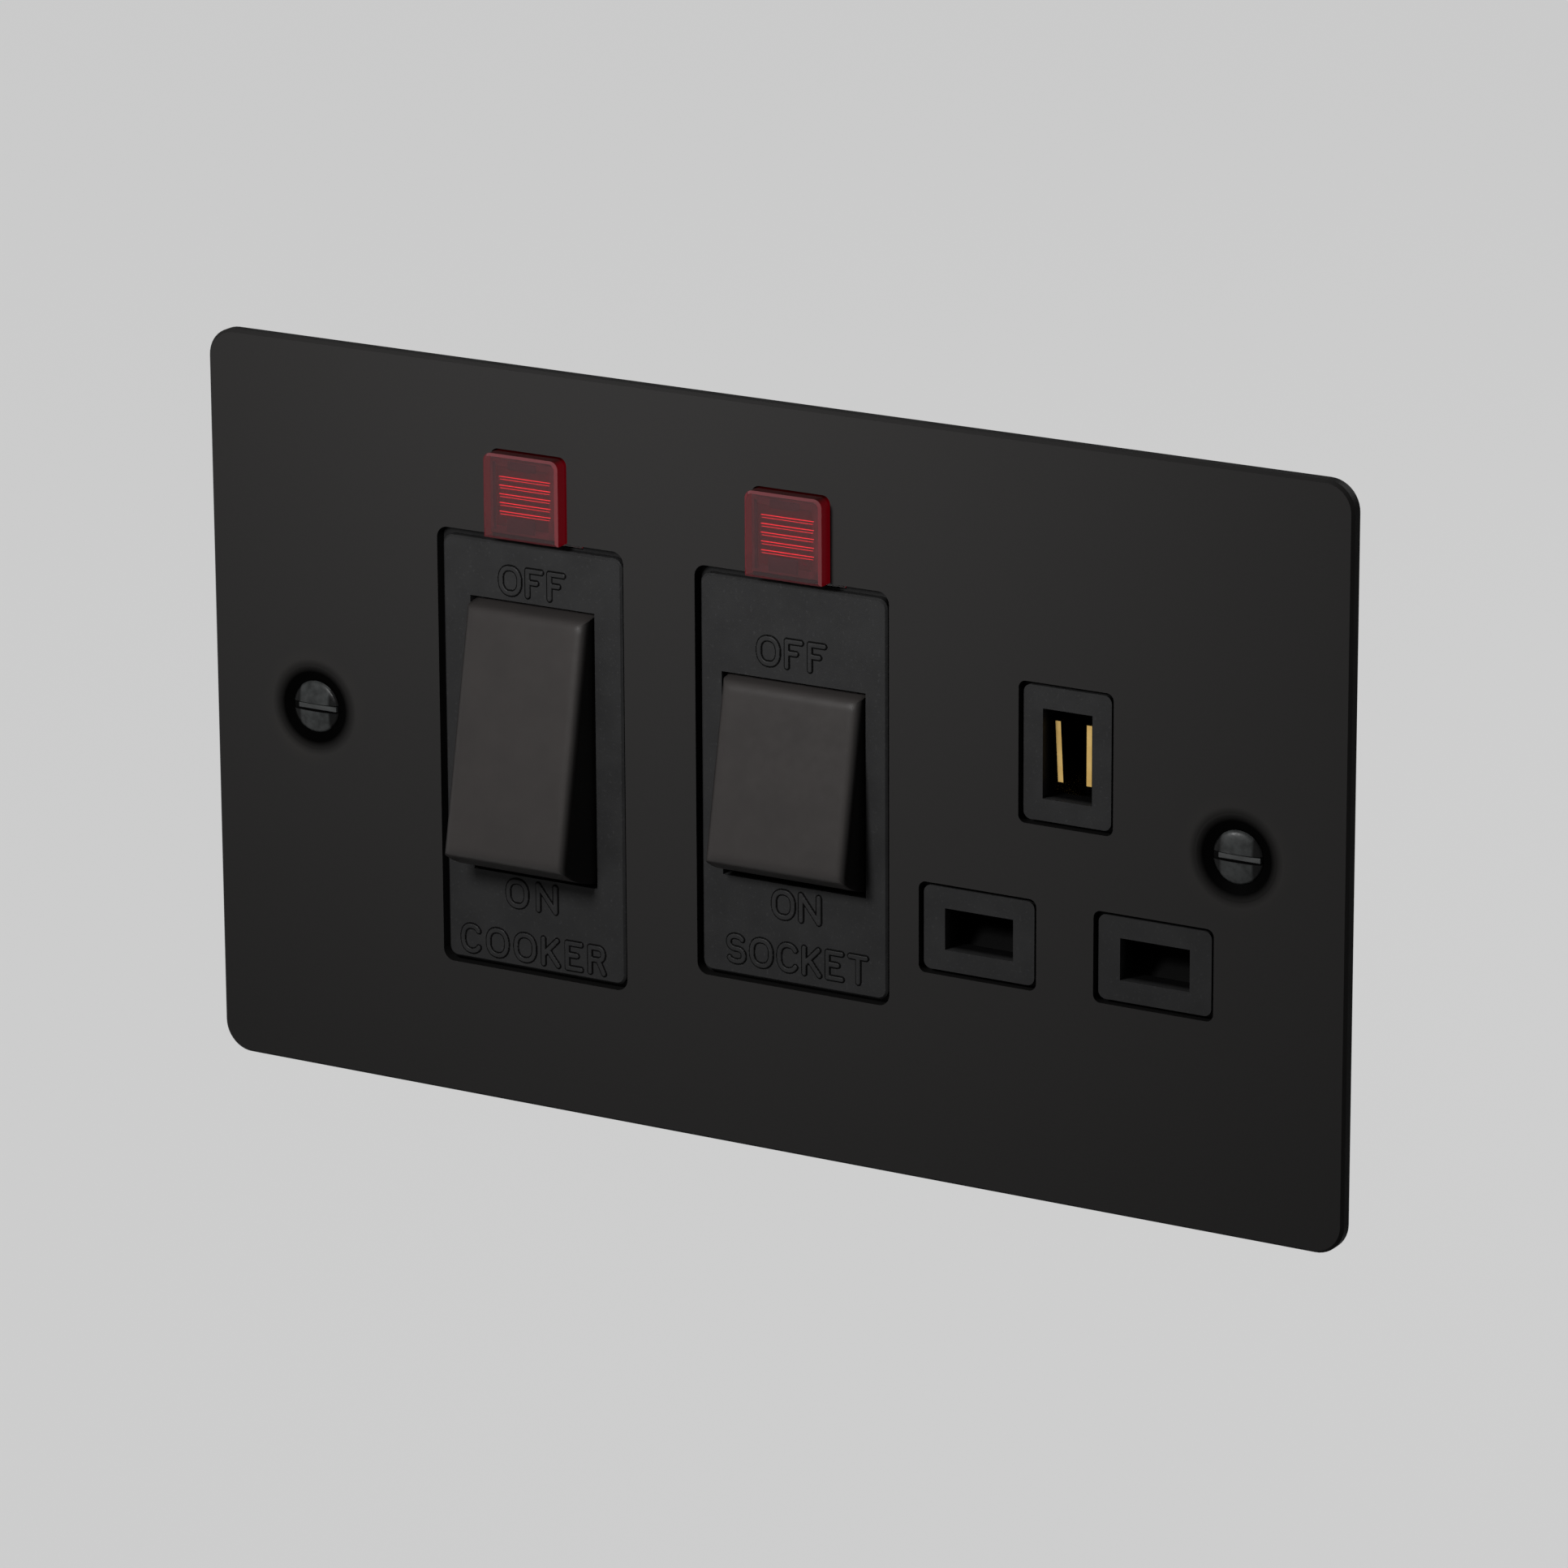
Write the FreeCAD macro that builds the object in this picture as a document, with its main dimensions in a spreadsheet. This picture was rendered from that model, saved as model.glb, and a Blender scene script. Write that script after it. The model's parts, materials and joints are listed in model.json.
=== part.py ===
import FreeCAD, Part
import math
import os
import Sketcher

# Wall-mounted cooker control unit: a double plate with a double-pole cooker switch, a switched three-pin
# socket outlet and two indicator lights. Millimetres. X runs right, Z up, Y into the wall. The origin lies
# midway between the two fixing holes, on the back of the front plate.

doc = FreeCAD.newDocument("cooker_control_unit")
dims = doc.addObject("Spreadsheet::Sheet", "dims")

SIZES = [
    # Front plate
    ("plate_wide", "148.0"),
    ("plate_tall", "88.0"),
    ("plate_thick", "1.5"),
    ("plate_corner", "3.5"),
    ("plate_edge", "0.35"),
    ("fix_pitch", "120.6"),
    ("dish_rad", "4.9"),
    ("dish_deep", "0.45"),
    ("standoff_rad", "2.3"),
    ("standoff_long", "3.0"),
    # Fixing screws
    ("fix_head_rad", "3.1"),
    ("fix_dome", "0.6"),
    ("fix_slot_wide", "0.9"),
    ("fix_slot_deep", "0.7"),
    ("shank_rad", "1.75"),
    ("shank_long", "22.0"),
    ("seat_gap", "0.04"),
    # Cooker switch, seen from the front
    ("cook_x", "-30.4"),
    ("cook_cut_wide", "25.0"),
    ("cook_cut_up", "24.2"),
    ("cook_cut_down", "28.0"),
    ("cook_open_wide", "16.7"),
    ("cook_open_tall", "32.8"),
    ("cook_face", "7.4"),
    # Socket switch, seen from the front
    ("sock_x", "4.1"),
    ("sock_cut_wide", "25.2"),
    ("sock_cut_half", "24.2"),
    ("sock_open_wide", "18.7"),
    ("sock_open_tall", "24.0"),
    ("sock_face", "5.7"),
    ("cut_corner", "1.4"),
    ("panel_gap", "0.5"),
    ("panel_top_gap", "1.0"),
    ("panel_sunk", "0.4"),
    ("panel_corner", "1.2"),
    ("panel_edge", "0.25"),
    # Indicator lenses
    ("lens_wide", "9.9"),
    ("lens_tall", "10.0"),
    ("lens_proud", "2.0"),
    ("lens_corner", "1.0"),
    ("lens_edge", "0.3"),
    ("lens_lip", "1.2"),
    ("lens_lip_thick", "1.0"),
    ("lens_wall", "1.0"),
    ("lens_skirt", "4.0"),
    ("lens_gap", "0.12"),
    ("rib_count", "5"),
    ("rib_step", "1.0"),
    ("rib_tall", "0.5"),
    ("rib_wide", "6.4"),
    ("rib_deep", "0.5"),
    # Lamps and resistors
    ("lamp_rad", "1.8"),
    ("lamp_long", "5.6"),
    ("lamp_y", "2.6"),
    ("lead_rad", "0.25"),
    ("resist_rad", "1.1"),
    ("resist_long", "6.2"),
    ("resist_up", "2.5"),
    ("bar_thick", "1.5"),
    ("post_gap", "0.4"),
    # Three-pin outlet
    ("outlet_x", "39.1"),
    ("earth_z", "8.3"),
    ("earth_wide", "11.9"),
    ("earth_tall", "16.4"),
    ("earth_way_wide", "6.2"),
    ("earth_way_tall", "10.4"),
    ("pin_pitch", "22.2"),
    ("pin_z", "-14.0"),
    ("boss_wide", "15.0"),
    ("boss_tall", "10.7"),
    ("way_wide", "8.7"),
    ("way_tall", "4.9"),
    ("boss_gap", "0.45"),
    ("boss_corner", "0.9"),
    # Moulded fronts
    ("front_left", "-56.0"),
    ("front_right", "59.2"),
    ("front_up", "35.8"),
    ("front_down", "-35.6"),
    ("split_x", "-13.2"),
    ("split_gap", "0.2"),
    ("flange_thick", "2.0"),
    ("well_wall", "1.9"),
    ("well_back", "9.0"),
    ("lug_x", "55.0"),
    ("lug_half", "7.0"),
    # Moulded bases
    ("base_inset", "1.0"),
    ("base_half", "34.4"),
    ("base_wall", "1.8"),
    ("floor_front", "18.6"),
    ("floor_thick", "1.8"),
    ("tower_back", "29.0"),
    ("base_corner", "2.0"),
    ("post_half", "3.0"),
    ("side_post_in", "3.6"),
    ("side_post_z", "27.0"),
    ("mid_post_z", "14.0"),
    ("right_post_in", "4.7"),
    ("right_post_z", "25.0"),
    ("low_post_in", "9.2"),
    ("low_post_z", "-30.6"),
    # Screws that hold the bases to the plate
    ("screw_rad", "1.2"),
    ("screw_play", "0.25"),
    ("screw_head_rad", "2.6"),
    ("screw_head_long", "1.7"),
    ("screw_near", "0.8"),
    # Rockers
    ("tilt", "11.5"),
    ("pivot_y", "1.6"),
    ("pin_rad", "1.5"),
    ("pin_long", "1.3"),
    ("run_gap", "0.05"),
    ("rocker_side", "0.3"),
    ("rocker_end", "0.4"),
    ("rocker_wall", "1.7"),
    ("rocker_back", "3.0"),
    ("rocker_edge", "1.0"),
    ("leg_half", "2.6"),
    ("leg_back", "7.0"),
    ("pole_step", "4.5"),
    # Plungers and their springs
    ("plunger_half", "1.8"),
    ("plunger_nose", "1.7"),
    ("plunger_rear", "3.4"),
    ("plunger_tip", "9.65"),
    ("coil_rad", "1.35"),
    ("coil_wire", "0.35"),
    ("coil_turns", "4"),
    # See-saw contact arms
    ("arm_y", "14.0"),
    ("arm_tilt", "9.0"),
    ("arm_wide", "5.0"),
    ("arm_half", "9.5"),
    ("arm_front", "0.9"),
    ("arm_rear", "0.3"),
    ("hub_rad", "1.5"),
    ("saddle_front", "0.8"),
    ("saddle_half", "2.2"),
    ("contact_z", "8.0"),
    ("contact_rad", "1.6"),
    ("contact_high", "0.8"),
    ("contact_tip", "0.7"),
    ("contact_gap", "0.02"),
    ("stop_near", "6.6"),
    ("stop_far", "8.6"),
    # Straps and terminals
    ("strap_front", "17.2"),
    ("strap_thick", "1.4"),
    ("strap_wide", "5.0"),
    ("block_wide", "10.0"),
    ("block_long", "11.0"),
    ("block_out", "32.4"),
    ("block_deep", "10.0"),
    ("bore_rad", "3.0"),
    ("bore_y", "22.0"),
    ("clamp_rad", "2.4"),
    ("clamp_in", "5.2"),
    ("clamp_slot", "0.7"),
    ("live_block_x", "-41.5"),
    ("neutral_block_x", "-22.5"),
    ("block_fit", "0.15"),
    ("cable_half", "4.0"),
    ("link_y", "11.5"),
    ("link_thick", "1.2"),
    ("link_wide", "4.0"),
    ("live_link_z", "-29.8"),
    ("neutral_link_z", "-23.6"),
    ("lead_out", "2.4"),
    ("lead_in", "1.0"),
    ("lead_low", "3.0"),
    ("lead_high", "7.0"),
    ("live_run_z", "16.0"),
    ("neutral_run_z", "7.6"),
    ("jaw_front", "11.0"),
    ("jaw_wide", "5.2"),
    ("jaw_thick", "0.7"),
    ("jaw_gap", "3.4"),
    ("jaw_mouth", "5.2"),
    # Earth contact
    ("blade_front", "0.5"),
    ("blade_back", "21.5"),
    ("blade_gap", "3.1"),
    ("blade_thick", "0.65"),
    ("blade_tall", "7.0"),
    ("blade_lean", "3.0"),
    ("earth_strap_thick", "1.4"),
    ("earth_foot", "1.6"),
    # Shutter
    ("shutter_front", "2.1"),
    ("shutter_thick", "1.2"),
    ("shutter_lap", "0.75"),
    ("shutter_rise", "5.8"),
    ("shutter_bar", "2.4"),
    ("shutter_bar_deep", "2.9"),
    ("shutter_travel", "6.2"),
    ("shutter_peg", "0.85"),
    ("shutter_peg_long", "2.4"),
    ("shutter_coil_rad", "1.7"),
    ("shutter_wire", "0.45"),
    ("shutter_turns", "6"),
    ("guide_gap", "0.25"),
]

for row, (alias, text) in enumerate(SIZES, 1):
    dims.set(f"A{row}", alias)
    dims.set(f"B{row}", text)
    dims.setAlias(f"B{row}", alias)
doc.recompute()


class Size:
    """A length that knows both its value and the sheet formula that it comes from."""

    def __init__(self, value, text):
        self.value = value
        self.text = text

    def __add__(self, other):
        return Size(self.value + num(other), f"({self.text} + {txt(other)})")

    def __sub__(self, other):
        return Size(self.value - num(other), f"({self.text} - {txt(other)})")

    def __mul__(self, other):
        return Size(self.value * num(other), f"({self.text} * {txt(other)})")

    def __truediv__(self, other):
        return Size(self.value / num(other), f"({self.text} / {txt(other)})")

    def __radd__(self, other):
        return Size(num(other) + self.value, f"({txt(other)} + {self.text})")

    def __rsub__(self, other):
        return Size(num(other) - self.value, f"({txt(other)} - {self.text})")

    def __rmul__(self, other):
        return Size(num(other) * self.value, f"({txt(other)} * {self.text})")

    def __neg__(self):
        return Size(-self.value, f"(0 - {self.text})")


def num(size):
    return size.value if isinstance(size, Size) else float(size)


def txt(size):
    return size.text if isinstance(size, Size) else f"({float(size)!r})"


def sine(size):
    return Size(math.sin(math.radians(num(size))), f"sin({txt(size)} * 1 deg)")


def cosine(size):
    return Size(math.cos(math.radians(num(size))), f"cos({txt(size)} * 1 deg)")


def tangent(size):
    return Size(math.tan(math.radians(num(size))), f"tan({txt(size)} * 1 deg)")


class Sheet:
    """Reads a named size from the spreadsheet."""

    def __getattr__(self, alias):
        return Size(float(getattr(dims, alias)), f"dims.{alias}")


S = Sheet()
SCREW_SIDES = 12

# Allowances: how far a cut runs past a face, the room round a fixed piece, how deep a joined end sinks
PAST = 0.5
ROOM = 0.4
SUNK = 0.3
FREE = 0.2
SLIM = 0.1
SNUG = 0.05
END_GAP = 0.02

# Thickness of the shutter's guide ribs and rests
GUIDE = 0.9
REST = 1.5
ORIGIN_PLANE = {"X": "YZ_Plane", "Y": "XZ_Plane", "Z": "XY_Plane"}
nodes = []


def bind(obj, prop, size):
    obj.setExpression(prop, txt(size))


def rect(u0, u1, v0, v1):
    return ("poly", [(u0, v0), (u1, v0), (u1, v1), (u0, v1)])


def rrect(u0, u1, v0, v1, rad):
    return ("rrect", u0, u1, v0, v1, rad)


def poly(*points):
    return ("poly", list(points))


def circle(u, v, rad):
    return ("circle", u, v, rad)


def square(u, v, half):
    return rect(u - half, u + half, v - half, v + half)


def flats(u, v, rad, count):
    """A regular outline whose corners lie on the radius."""
    turns = [math.radians(360 * k / count) for k in range(count)]
    return poly(*[(u + rad * math.cos(turn), v + rad * math.sin(turn)) for turn in turns])


def screw_hole(u, v, rad):
    """A twelve-sided hole whose flats clear a screw of the radius."""
    return flats(u, v, rad / math.cos(math.radians(180 / SCREW_SIDES)), SCREW_SIDES)


def hold(sk, kind, geo, point, size, name):
    """Holds a sketch point at a signed distance from the sketch's origin."""
    made = sk.addConstraint(Sketcher.Constraint(kind, -1, 1, geo, point, num(size)))
    sk.renameConstraint(made, name)
    bind(sk, f"Constraints.{name}", size)


def draw(sk, loops):
    for k, loop in enumerate(loops):
        first = sk.GeometryCount
        if loop[0] == "poly":
            points = loop[1]
            ends = [FreeCAD.Vector(num(u), num(v), 0) for u, v in points]
            for a, b in zip(ends, ends[1:] + ends[:1]):
                sk.addGeometry(Part.LineSegment(a, b), False)
            for i in range(len(points)):
                after = first + (i + 1) % len(points)
                sk.addConstraint(Sketcher.Constraint("Coincident", first + i, 2, after, 1))
            for i, (u, v) in enumerate(points):
                hold(sk, "DistanceX", first + i, 1, u, f"u{k}_{i}")
                hold(sk, "DistanceY", first + i, 1, v, f"v{k}_{i}")
        elif loop[0] == "circle":
            _, u, v, rad = loop
            centre = FreeCAD.Vector(num(u), num(v), 0)
            sk.addGeometry(Part.Circle(centre, FreeCAD.Vector(0, 0, 1), num(rad)), False)
            hold(sk, "DistanceX", first, 3, u, f"u{k}")
            hold(sk, "DistanceY", first, 3, v, f"v{k}")
            made = sk.addConstraint(Sketcher.Constraint("Radius", first, num(rad)))
            sk.renameConstraint(made, f"r{k}")
            bind(sk, f"Constraints.r{k}", rad)
        else:
            _, u0, u1, v0, v1, rad = loop
            corners = [
                (u1 - rad, v0 + rad, -90),
                (u1 - rad, v1 - rad, 0),
                (u0 + rad, v1 - rad, 90),
                (u0 + rad, v0 + rad, 180),
            ]
            up = FreeCAD.Vector(0, 0, 1)
            arcs = []
            for u, v, start in corners:
                ring = Part.Circle(FreeCAD.Vector(num(u), num(v), 0), up, num(rad))
                arcs.append(Part.ArcOfCircle(ring, math.radians(start), math.radians(start + 90)))
            for i, arc in enumerate(arcs):
                sk.addGeometry(arc, False)
                following = arcs[(i + 1) % 4]
                sk.addGeometry(Part.LineSegment(arc.EndPoint, following.StartPoint), False)
            for i in range(4):
                arc, line, after = first + 2 * i, first + 2 * i + 1, first + (2 * i + 2) % 8
                sk.addConstraint(Sketcher.Constraint("Tangent", arc, 2, line, 1))
                sk.addConstraint(Sketcher.Constraint("Tangent", line, 2, after, 1))
            for i, (u, v, start) in enumerate(corners):
                hold(sk, "DistanceX", first + 2 * i, 3, u, f"u{k}_{i}")
                hold(sk, "DistanceY", first + 2 * i, 3, v, f"v{k}_{i}")
                made = sk.addConstraint(Sketcher.Constraint("Radius", first + 2 * i, num(rad)))
                sk.renameConstraint(made, f"r{k}_{i}")
                bind(sk, f"Constraints.r{k}_{i}", rad)


class Piece:
    """One body of the product, built up from pads and pockets across the X, Y or Z axis."""

    def __init__(self, label, is_node=True):
        self.body = doc.addObject("PartDesign::Body", label)
        self.body.Label = label
        if is_node:
            nodes.append(self.body)

    def origin(self, role):
        return next(f for f in self.body.Origin.OriginFeatures if f.Role == role)

    def sketch(self, axis, at, loops, shift=None):
        sk = self.body.newObject("Sketcher::SketchObject", "profile")
        sk.AttachmentSupport = [(self.origin(ORIGIN_PLANE[axis]), "")]
        sk.MapMode = "FlatFace"
        height = -at if axis == "Y" and isinstance(at, Size) else -float(at) if axis == "Y" else at
        bind(sk, ".AttachmentOffset.Base.z", height)
        if shift is not None:
            bind(sk, ".AttachmentOffset.Base.x", shift)
        draw(sk, loops)
        return sk

    def add(self, axis, start, end, *loops):
        """Pads the loops from start to end along the axis."""
        sk = self.sketch(axis, end if axis == "Y" else start, loops)
        pad = self.body.newObject("PartDesign::Pad", "pad")
        pad.Profile = sk
        bind(pad, "Length", end - start)
        doc.recompute()
        return pad

    def cut(self, axis, start, end, *loops):
        """Pockets the loops from start to end along the axis, and checks that material went."""
        before = self.body.Shape.Volume
        sk = self.sketch(axis, start if axis == "Y" else end, loops)
        pocket = self.body.newObject("PartDesign::Pocket", "pocket")
        pocket.Profile = sk
        bind(pocket, "Length", end - start)
        doc.recompute()
        if self.body.Shape.Volume >= before - 1e-6:
            raise RuntimeError(f"{self.body.Label}: a pocket removed nothing")
        return pocket

    def turn(self, kind, axis, at, loops, shift=None):
        """Revolves or grooves the loops about the sketch's own vertical axis."""
        sk = self.sketch(axis, at, loops, shift)
        made = self.body.newObject(f"PartDesign::{kind}", kind.lower())
        made.Profile = sk
        made.ReferenceAxis = (sk, ["V_Axis"])
        made.Angle = 360.0
        doc.recompute()
        return made

    def fillet(self, rad, keep):
        """Rounds the edges that the test picks from the finished shape so far."""
        tip = self.body.Tip
        names = [f"Edge{i + 1}" for i, e in enumerate(tip.Shape.Edges) if keep(e)]
        if not names:
            raise RuntimeError(f"{self.body.Label}: no edge to round")
        made = self.body.newObject("PartDesign::Fillet", "fillet")
        made.Base = (tip, names)
        bind(made, "Radius", rad)
        doc.recompute()
        return made

    def chamfer(self, size, keep):
        """Bevels the edges that the test picks from the finished shape so far."""
        tip = self.body.Tip
        names = [f"Edge{i + 1}" for i, e in enumerate(tip.Shape.Edges) if keep(e)]
        if not names:
            raise RuntimeError(f"{self.body.Label}: no edge to bevel")
        made = self.body.newObject("PartDesign::Chamfer", "chamfer")
        made.Base = (tip, names)
        bind(made, "Size", size)
        doc.recompute()
        return made

    def mirror(self, *features):
        made = self.body.newObject("PartDesign::Mirrored", "mirrored")
        made.Originals = list(features)
        made.MirrorPlane = (self.origin("YZ_Plane"), [""])
        self.body.Tip = made
        doc.recompute()
        return made

    def row(self, feature, axis, length, count):
        made = self.body.newObject("PartDesign::LinearPattern", "row")
        made.Originals = [feature]
        made.Direction = (self.origin(f"{axis}_Axis"), [""])
        bind(made, "Length", length)
        bind(made, "Occurrences", count)
        self.body.Tip = made
        doc.recompute()
        return made

    def place(self, x, y, z, angle=None):
        put(self.body, x, y, z, angle)


def put(obj, x, y, z, angle=None):
    """Places a piece, turned about X where an angle is given."""
    bind(obj, ".Placement.Base.x", x)
    bind(obj, ".Placement.Base.y", y)
    bind(obj, ".Placement.Base.z", z)
    if angle is not None:
        obj.Placement = FreeCAD.Placement(
            FreeCAD.Vector(num(x), num(y), num(z)),
            FreeCAD.Rotation(FreeCAD.Vector(1, 0, 0), num(angle)),
        )
        bind(obj, ".Placement.Rotation.Angle", angle)


def wire_path(label, points, rad, holder):
    """A bent flat-sided lead through the points, joined to the shape that it leaves."""
    v = [FreeCAD.Vector(*[num(c) for c in p]) for p in points]
    first = (v[1] - v[0]).normalize()
    side = first.cross(v[2] - v[1]).normalize() * num(rad)
    up = side.cross(first)
    corners = [v[0] + side, v[0] + up, v[0] - side, v[0] - up]
    ring = Part.makePolygon(corners + corners[:1])
    sweep = Part.BRepOffsetAPI.MakePipeShell(Part.makePolygon(v))
    sweep.setTransitionMode(1)
    sweep.add(ring)
    sweep.build()
    sweep.makeSolid()
    made = doc.addObject("Part::Feature", label)
    made.Label = label
    made.Shape = holder.Shape.fuse(sweep.shape())
    nodes.append(made)


def upright(edge):
    """Is the edge straight and along Y?"""
    a, b = edge.Vertexes[0].Point, edge.Vertexes[-1].Point
    return abs(a.x - b.x) < 1e-6 and abs(a.z - b.z) < 1e-6 and abs(a.y - b.y) > 1e-6


def level(edge, y):
    return all(abs(v.Point.y - num(y)) < 1e-6 for v in edge.Vertexes)


def across(edge):
    """Is the edge straight and along X?"""
    a, b = edge.Vertexes[0].Point, edge.Vertexes[-1].Point
    return abs(a.y - b.y) < 1e-6 and abs(a.z - b.z) < 1e-6 and abs(a.x - b.x) > 1e-6


# Places that several pieces share
plate_front = -S.plate_thick
panel_y = plate_front + S.panel_sunk
flange_back = S.flange_thick
floor_back = S.floor_front + S.floor_thick
line_x = S.outlet_x + S.pin_pitch / 2
neutral_x = S.outlet_x - S.pin_pitch / 2
strap_back = S.strap_front + S.strap_thick
block_in = S.block_out - S.block_long
block_back = S.strap_front + S.block_deep
cook_cut = (S.cook_x - S.cook_cut_wide / 2, S.cook_x + S.cook_cut_wide / 2)
sock_cut = (S.sock_x - S.sock_cut_wide / 2, S.sock_x + S.sock_cut_wide / 2)
side_x = S.front_left + S.base_inset + S.side_post_in
shared_screws = [(S.split_x, S.mid_post_z), (S.split_x, -S.mid_post_z)]
cook_screws = [(side_x, S.side_post_z), (side_x, -S.side_post_z)] + shared_screws
sock_screws = shared_screws + [
    (S.front_right - S.right_post_in, S.right_post_z),
    (S.front_right - S.low_post_in, S.low_post_z),
]
all_screws = cook_screws + sock_screws[2:]

# Front plate: pressed metal with soft dishes round the fixing screws and threaded standoffs behind
plate = Piece("front_plate")
plate.add(
    "Y", plate_front, plate_front + S.plate_thick,
    rrect(-S.plate_wide / 2, S.plate_wide / 2, -S.plate_tall / 2, S.plate_tall / 2, S.plate_corner),
)
plate.chamfer(S.plate_edge, lambda e: level(e, plate_front))
half_e = S.earth_wide / 2
half_b = S.boss_wide / 2
plate.cut(
    "Y", plate_front - 1, plate_front + S.plate_thick + 1,
    rrect(*cook_cut, -S.cook_cut_down, S.cook_cut_up, S.cut_corner),
    rrect(*sock_cut, -S.sock_cut_half, S.sock_cut_half, S.cut_corner),
    rrect(S.outlet_x - half_e, S.outlet_x + half_e,
          S.earth_z - S.earth_tall / 2, S.earth_z + S.earth_tall / 2, S.boss_corner),
    rrect(neutral_x - half_b, neutral_x + half_b,
          S.pin_z - S.boss_tall / 2, S.pin_z + S.boss_tall / 2, S.boss_corner),
    rrect(line_x - half_b, line_x + half_b,
          S.pin_z - S.boss_tall / 2, S.pin_z + S.boss_tall / 2, S.boss_corner),
)
lens_half = S.lens_wide / 2
tab_half = lens_half + S.lens_gap
plate.cut(
    "Y", plate_front - 1, plate_front + S.plate_thick + 1,
    rrect(S.cook_x - tab_half, S.cook_x + tab_half, S.cook_cut_up - 4,
          S.cook_cut_up + S.lens_tall + S.lens_gap, S.lens_corner),
    rrect(S.sock_x - tab_half, S.sock_x + tab_half, S.sock_cut_half - 4,
          S.sock_cut_half + S.lens_tall + S.lens_gap, S.lens_corner),
)
rim_y = plate_front + S.dish_deep
cone_rise = (S.fix_head_rad - S.shank_rad) / (S.plate_thick - S.dish_deep)
hole_rad = S.shank_rad + S.seat_gap
dish = plate.turn("Groove", "Z", 0, [poly(
    (S.seat_gap * 0, plate_front - PAST),
    (S.dish_rad, plate_front - PAST),
    (S.dish_rad, plate_front),
    (S.fix_head_rad + S.seat_gap, rim_y),
    (hole_rad, plate_front + S.plate_thick),
    (hole_rad, plate_front + S.plate_thick + PAST),
    (S.seat_gap * 0, plate_front + S.plate_thick + PAST),
)], S.fix_pitch / 2)
plate.mirror(dish)
studs = [flats(x, z, S.standoff_rad, 6) for x, z in all_screws]
plate.add("Y", -S.plate_thick / 2, S.standoff_long, *studs)
plate.cut("Y", S.screw_near - SUNK, S.standoff_long,
          *[screw_hole(x, z, S.screw_rad + SNUG) for x, z in all_screws])

# Fixing screws: raised countersunk heads with a level slot
fixing = Piece("fixing_screws")
turned = fixing.turn("Revolution", "Z", 0, [poly(
    (S.shank_rad * 0, rim_y - S.fix_dome),
    (S.fix_head_rad * 0.55, rim_y - S.fix_dome),
    (S.fix_head_rad, rim_y),
    (S.shank_rad, plate_front + S.plate_thick),
    (S.shank_rad, S.shank_long),
    (S.shank_rad * 0, S.shank_long),
)], S.fix_pitch / 2)
slot = fixing.cut(
    "Y", rim_y - S.fix_dome - FREE, rim_y - S.fix_dome + S.fix_slot_deep,
    rect(S.fix_pitch / 2 - S.fix_head_rad - FREE, S.fix_pitch / 2 + S.fix_head_rad + FREE,
         -S.fix_slot_wide / 2, S.fix_slot_wide / 2),
)
fixing.mirror(turned, slot)


def lens_piece(label, x, base_z):
    """Moulded indicator lens: a domed tab through the plate, a lip behind it and a hollow skirt."""
    lens = Piece(label)
    low = base_z + SNUG
    high = base_z + S.lens_tall
    half = S.lens_wide / 2
    front = plate_front - S.lens_proud
    lens.add("Y", front, S.lens_lip_thick / 2, rect(x - half, x + half, low, high))
    lens.fillet(S.lens_corner, lambda e: upright(e) and e.Vertexes[0].Point.z > num(high) - SLIM)
    lens.chamfer(S.lens_edge, lambda e: level(e, front))
    lens.add("Y", S.lens_gap * 0, S.lens_lip_thick,
             rect(x - half - S.lens_lip, x + half + S.lens_lip,
                  low - S.lens_lip * 0.6, high + S.lens_lip * 0.85))
    inner = half - S.lens_wall * 1.5
    lens.add("Y", S.lens_lip_thick / 2, S.lens_skirt,
             rect(x - half + S.lens_wall * 0.5, x + half - S.lens_wall * 0.5,
                  low + S.lens_wall * 0.5, high - S.lens_wall * 0.5))
    lens.cut("Y", front + S.lens_wall, S.lens_skirt,
             rect(x - inner, x + inner, low + S.lens_wall * 1.5, high - S.lens_wall * 1.5))
    mid = (low + high) / 2
    span = S.rib_step * (S.rib_count - 1)
    rib = lens.add("Y", front + S.lens_wall - SLIM, front + S.lens_wall + S.rib_deep,
                   rect(x - S.rib_wide / 2, x + S.rib_wide / 2,
                        mid - span / 2 - S.rib_tall / 2, mid - span / 2 + S.rib_tall / 2))
    lens.row(rib, "Z", span, S.rib_count)
    return lens


lens_piece("cooker_lens", S.cook_x, S.cook_cut_up)
lens_piece("socket_lens", S.sock_x, S.sock_cut_half)


def lamp_bar_y():
    return S.lamp_y + S.lamp_rad + SNUG


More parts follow.
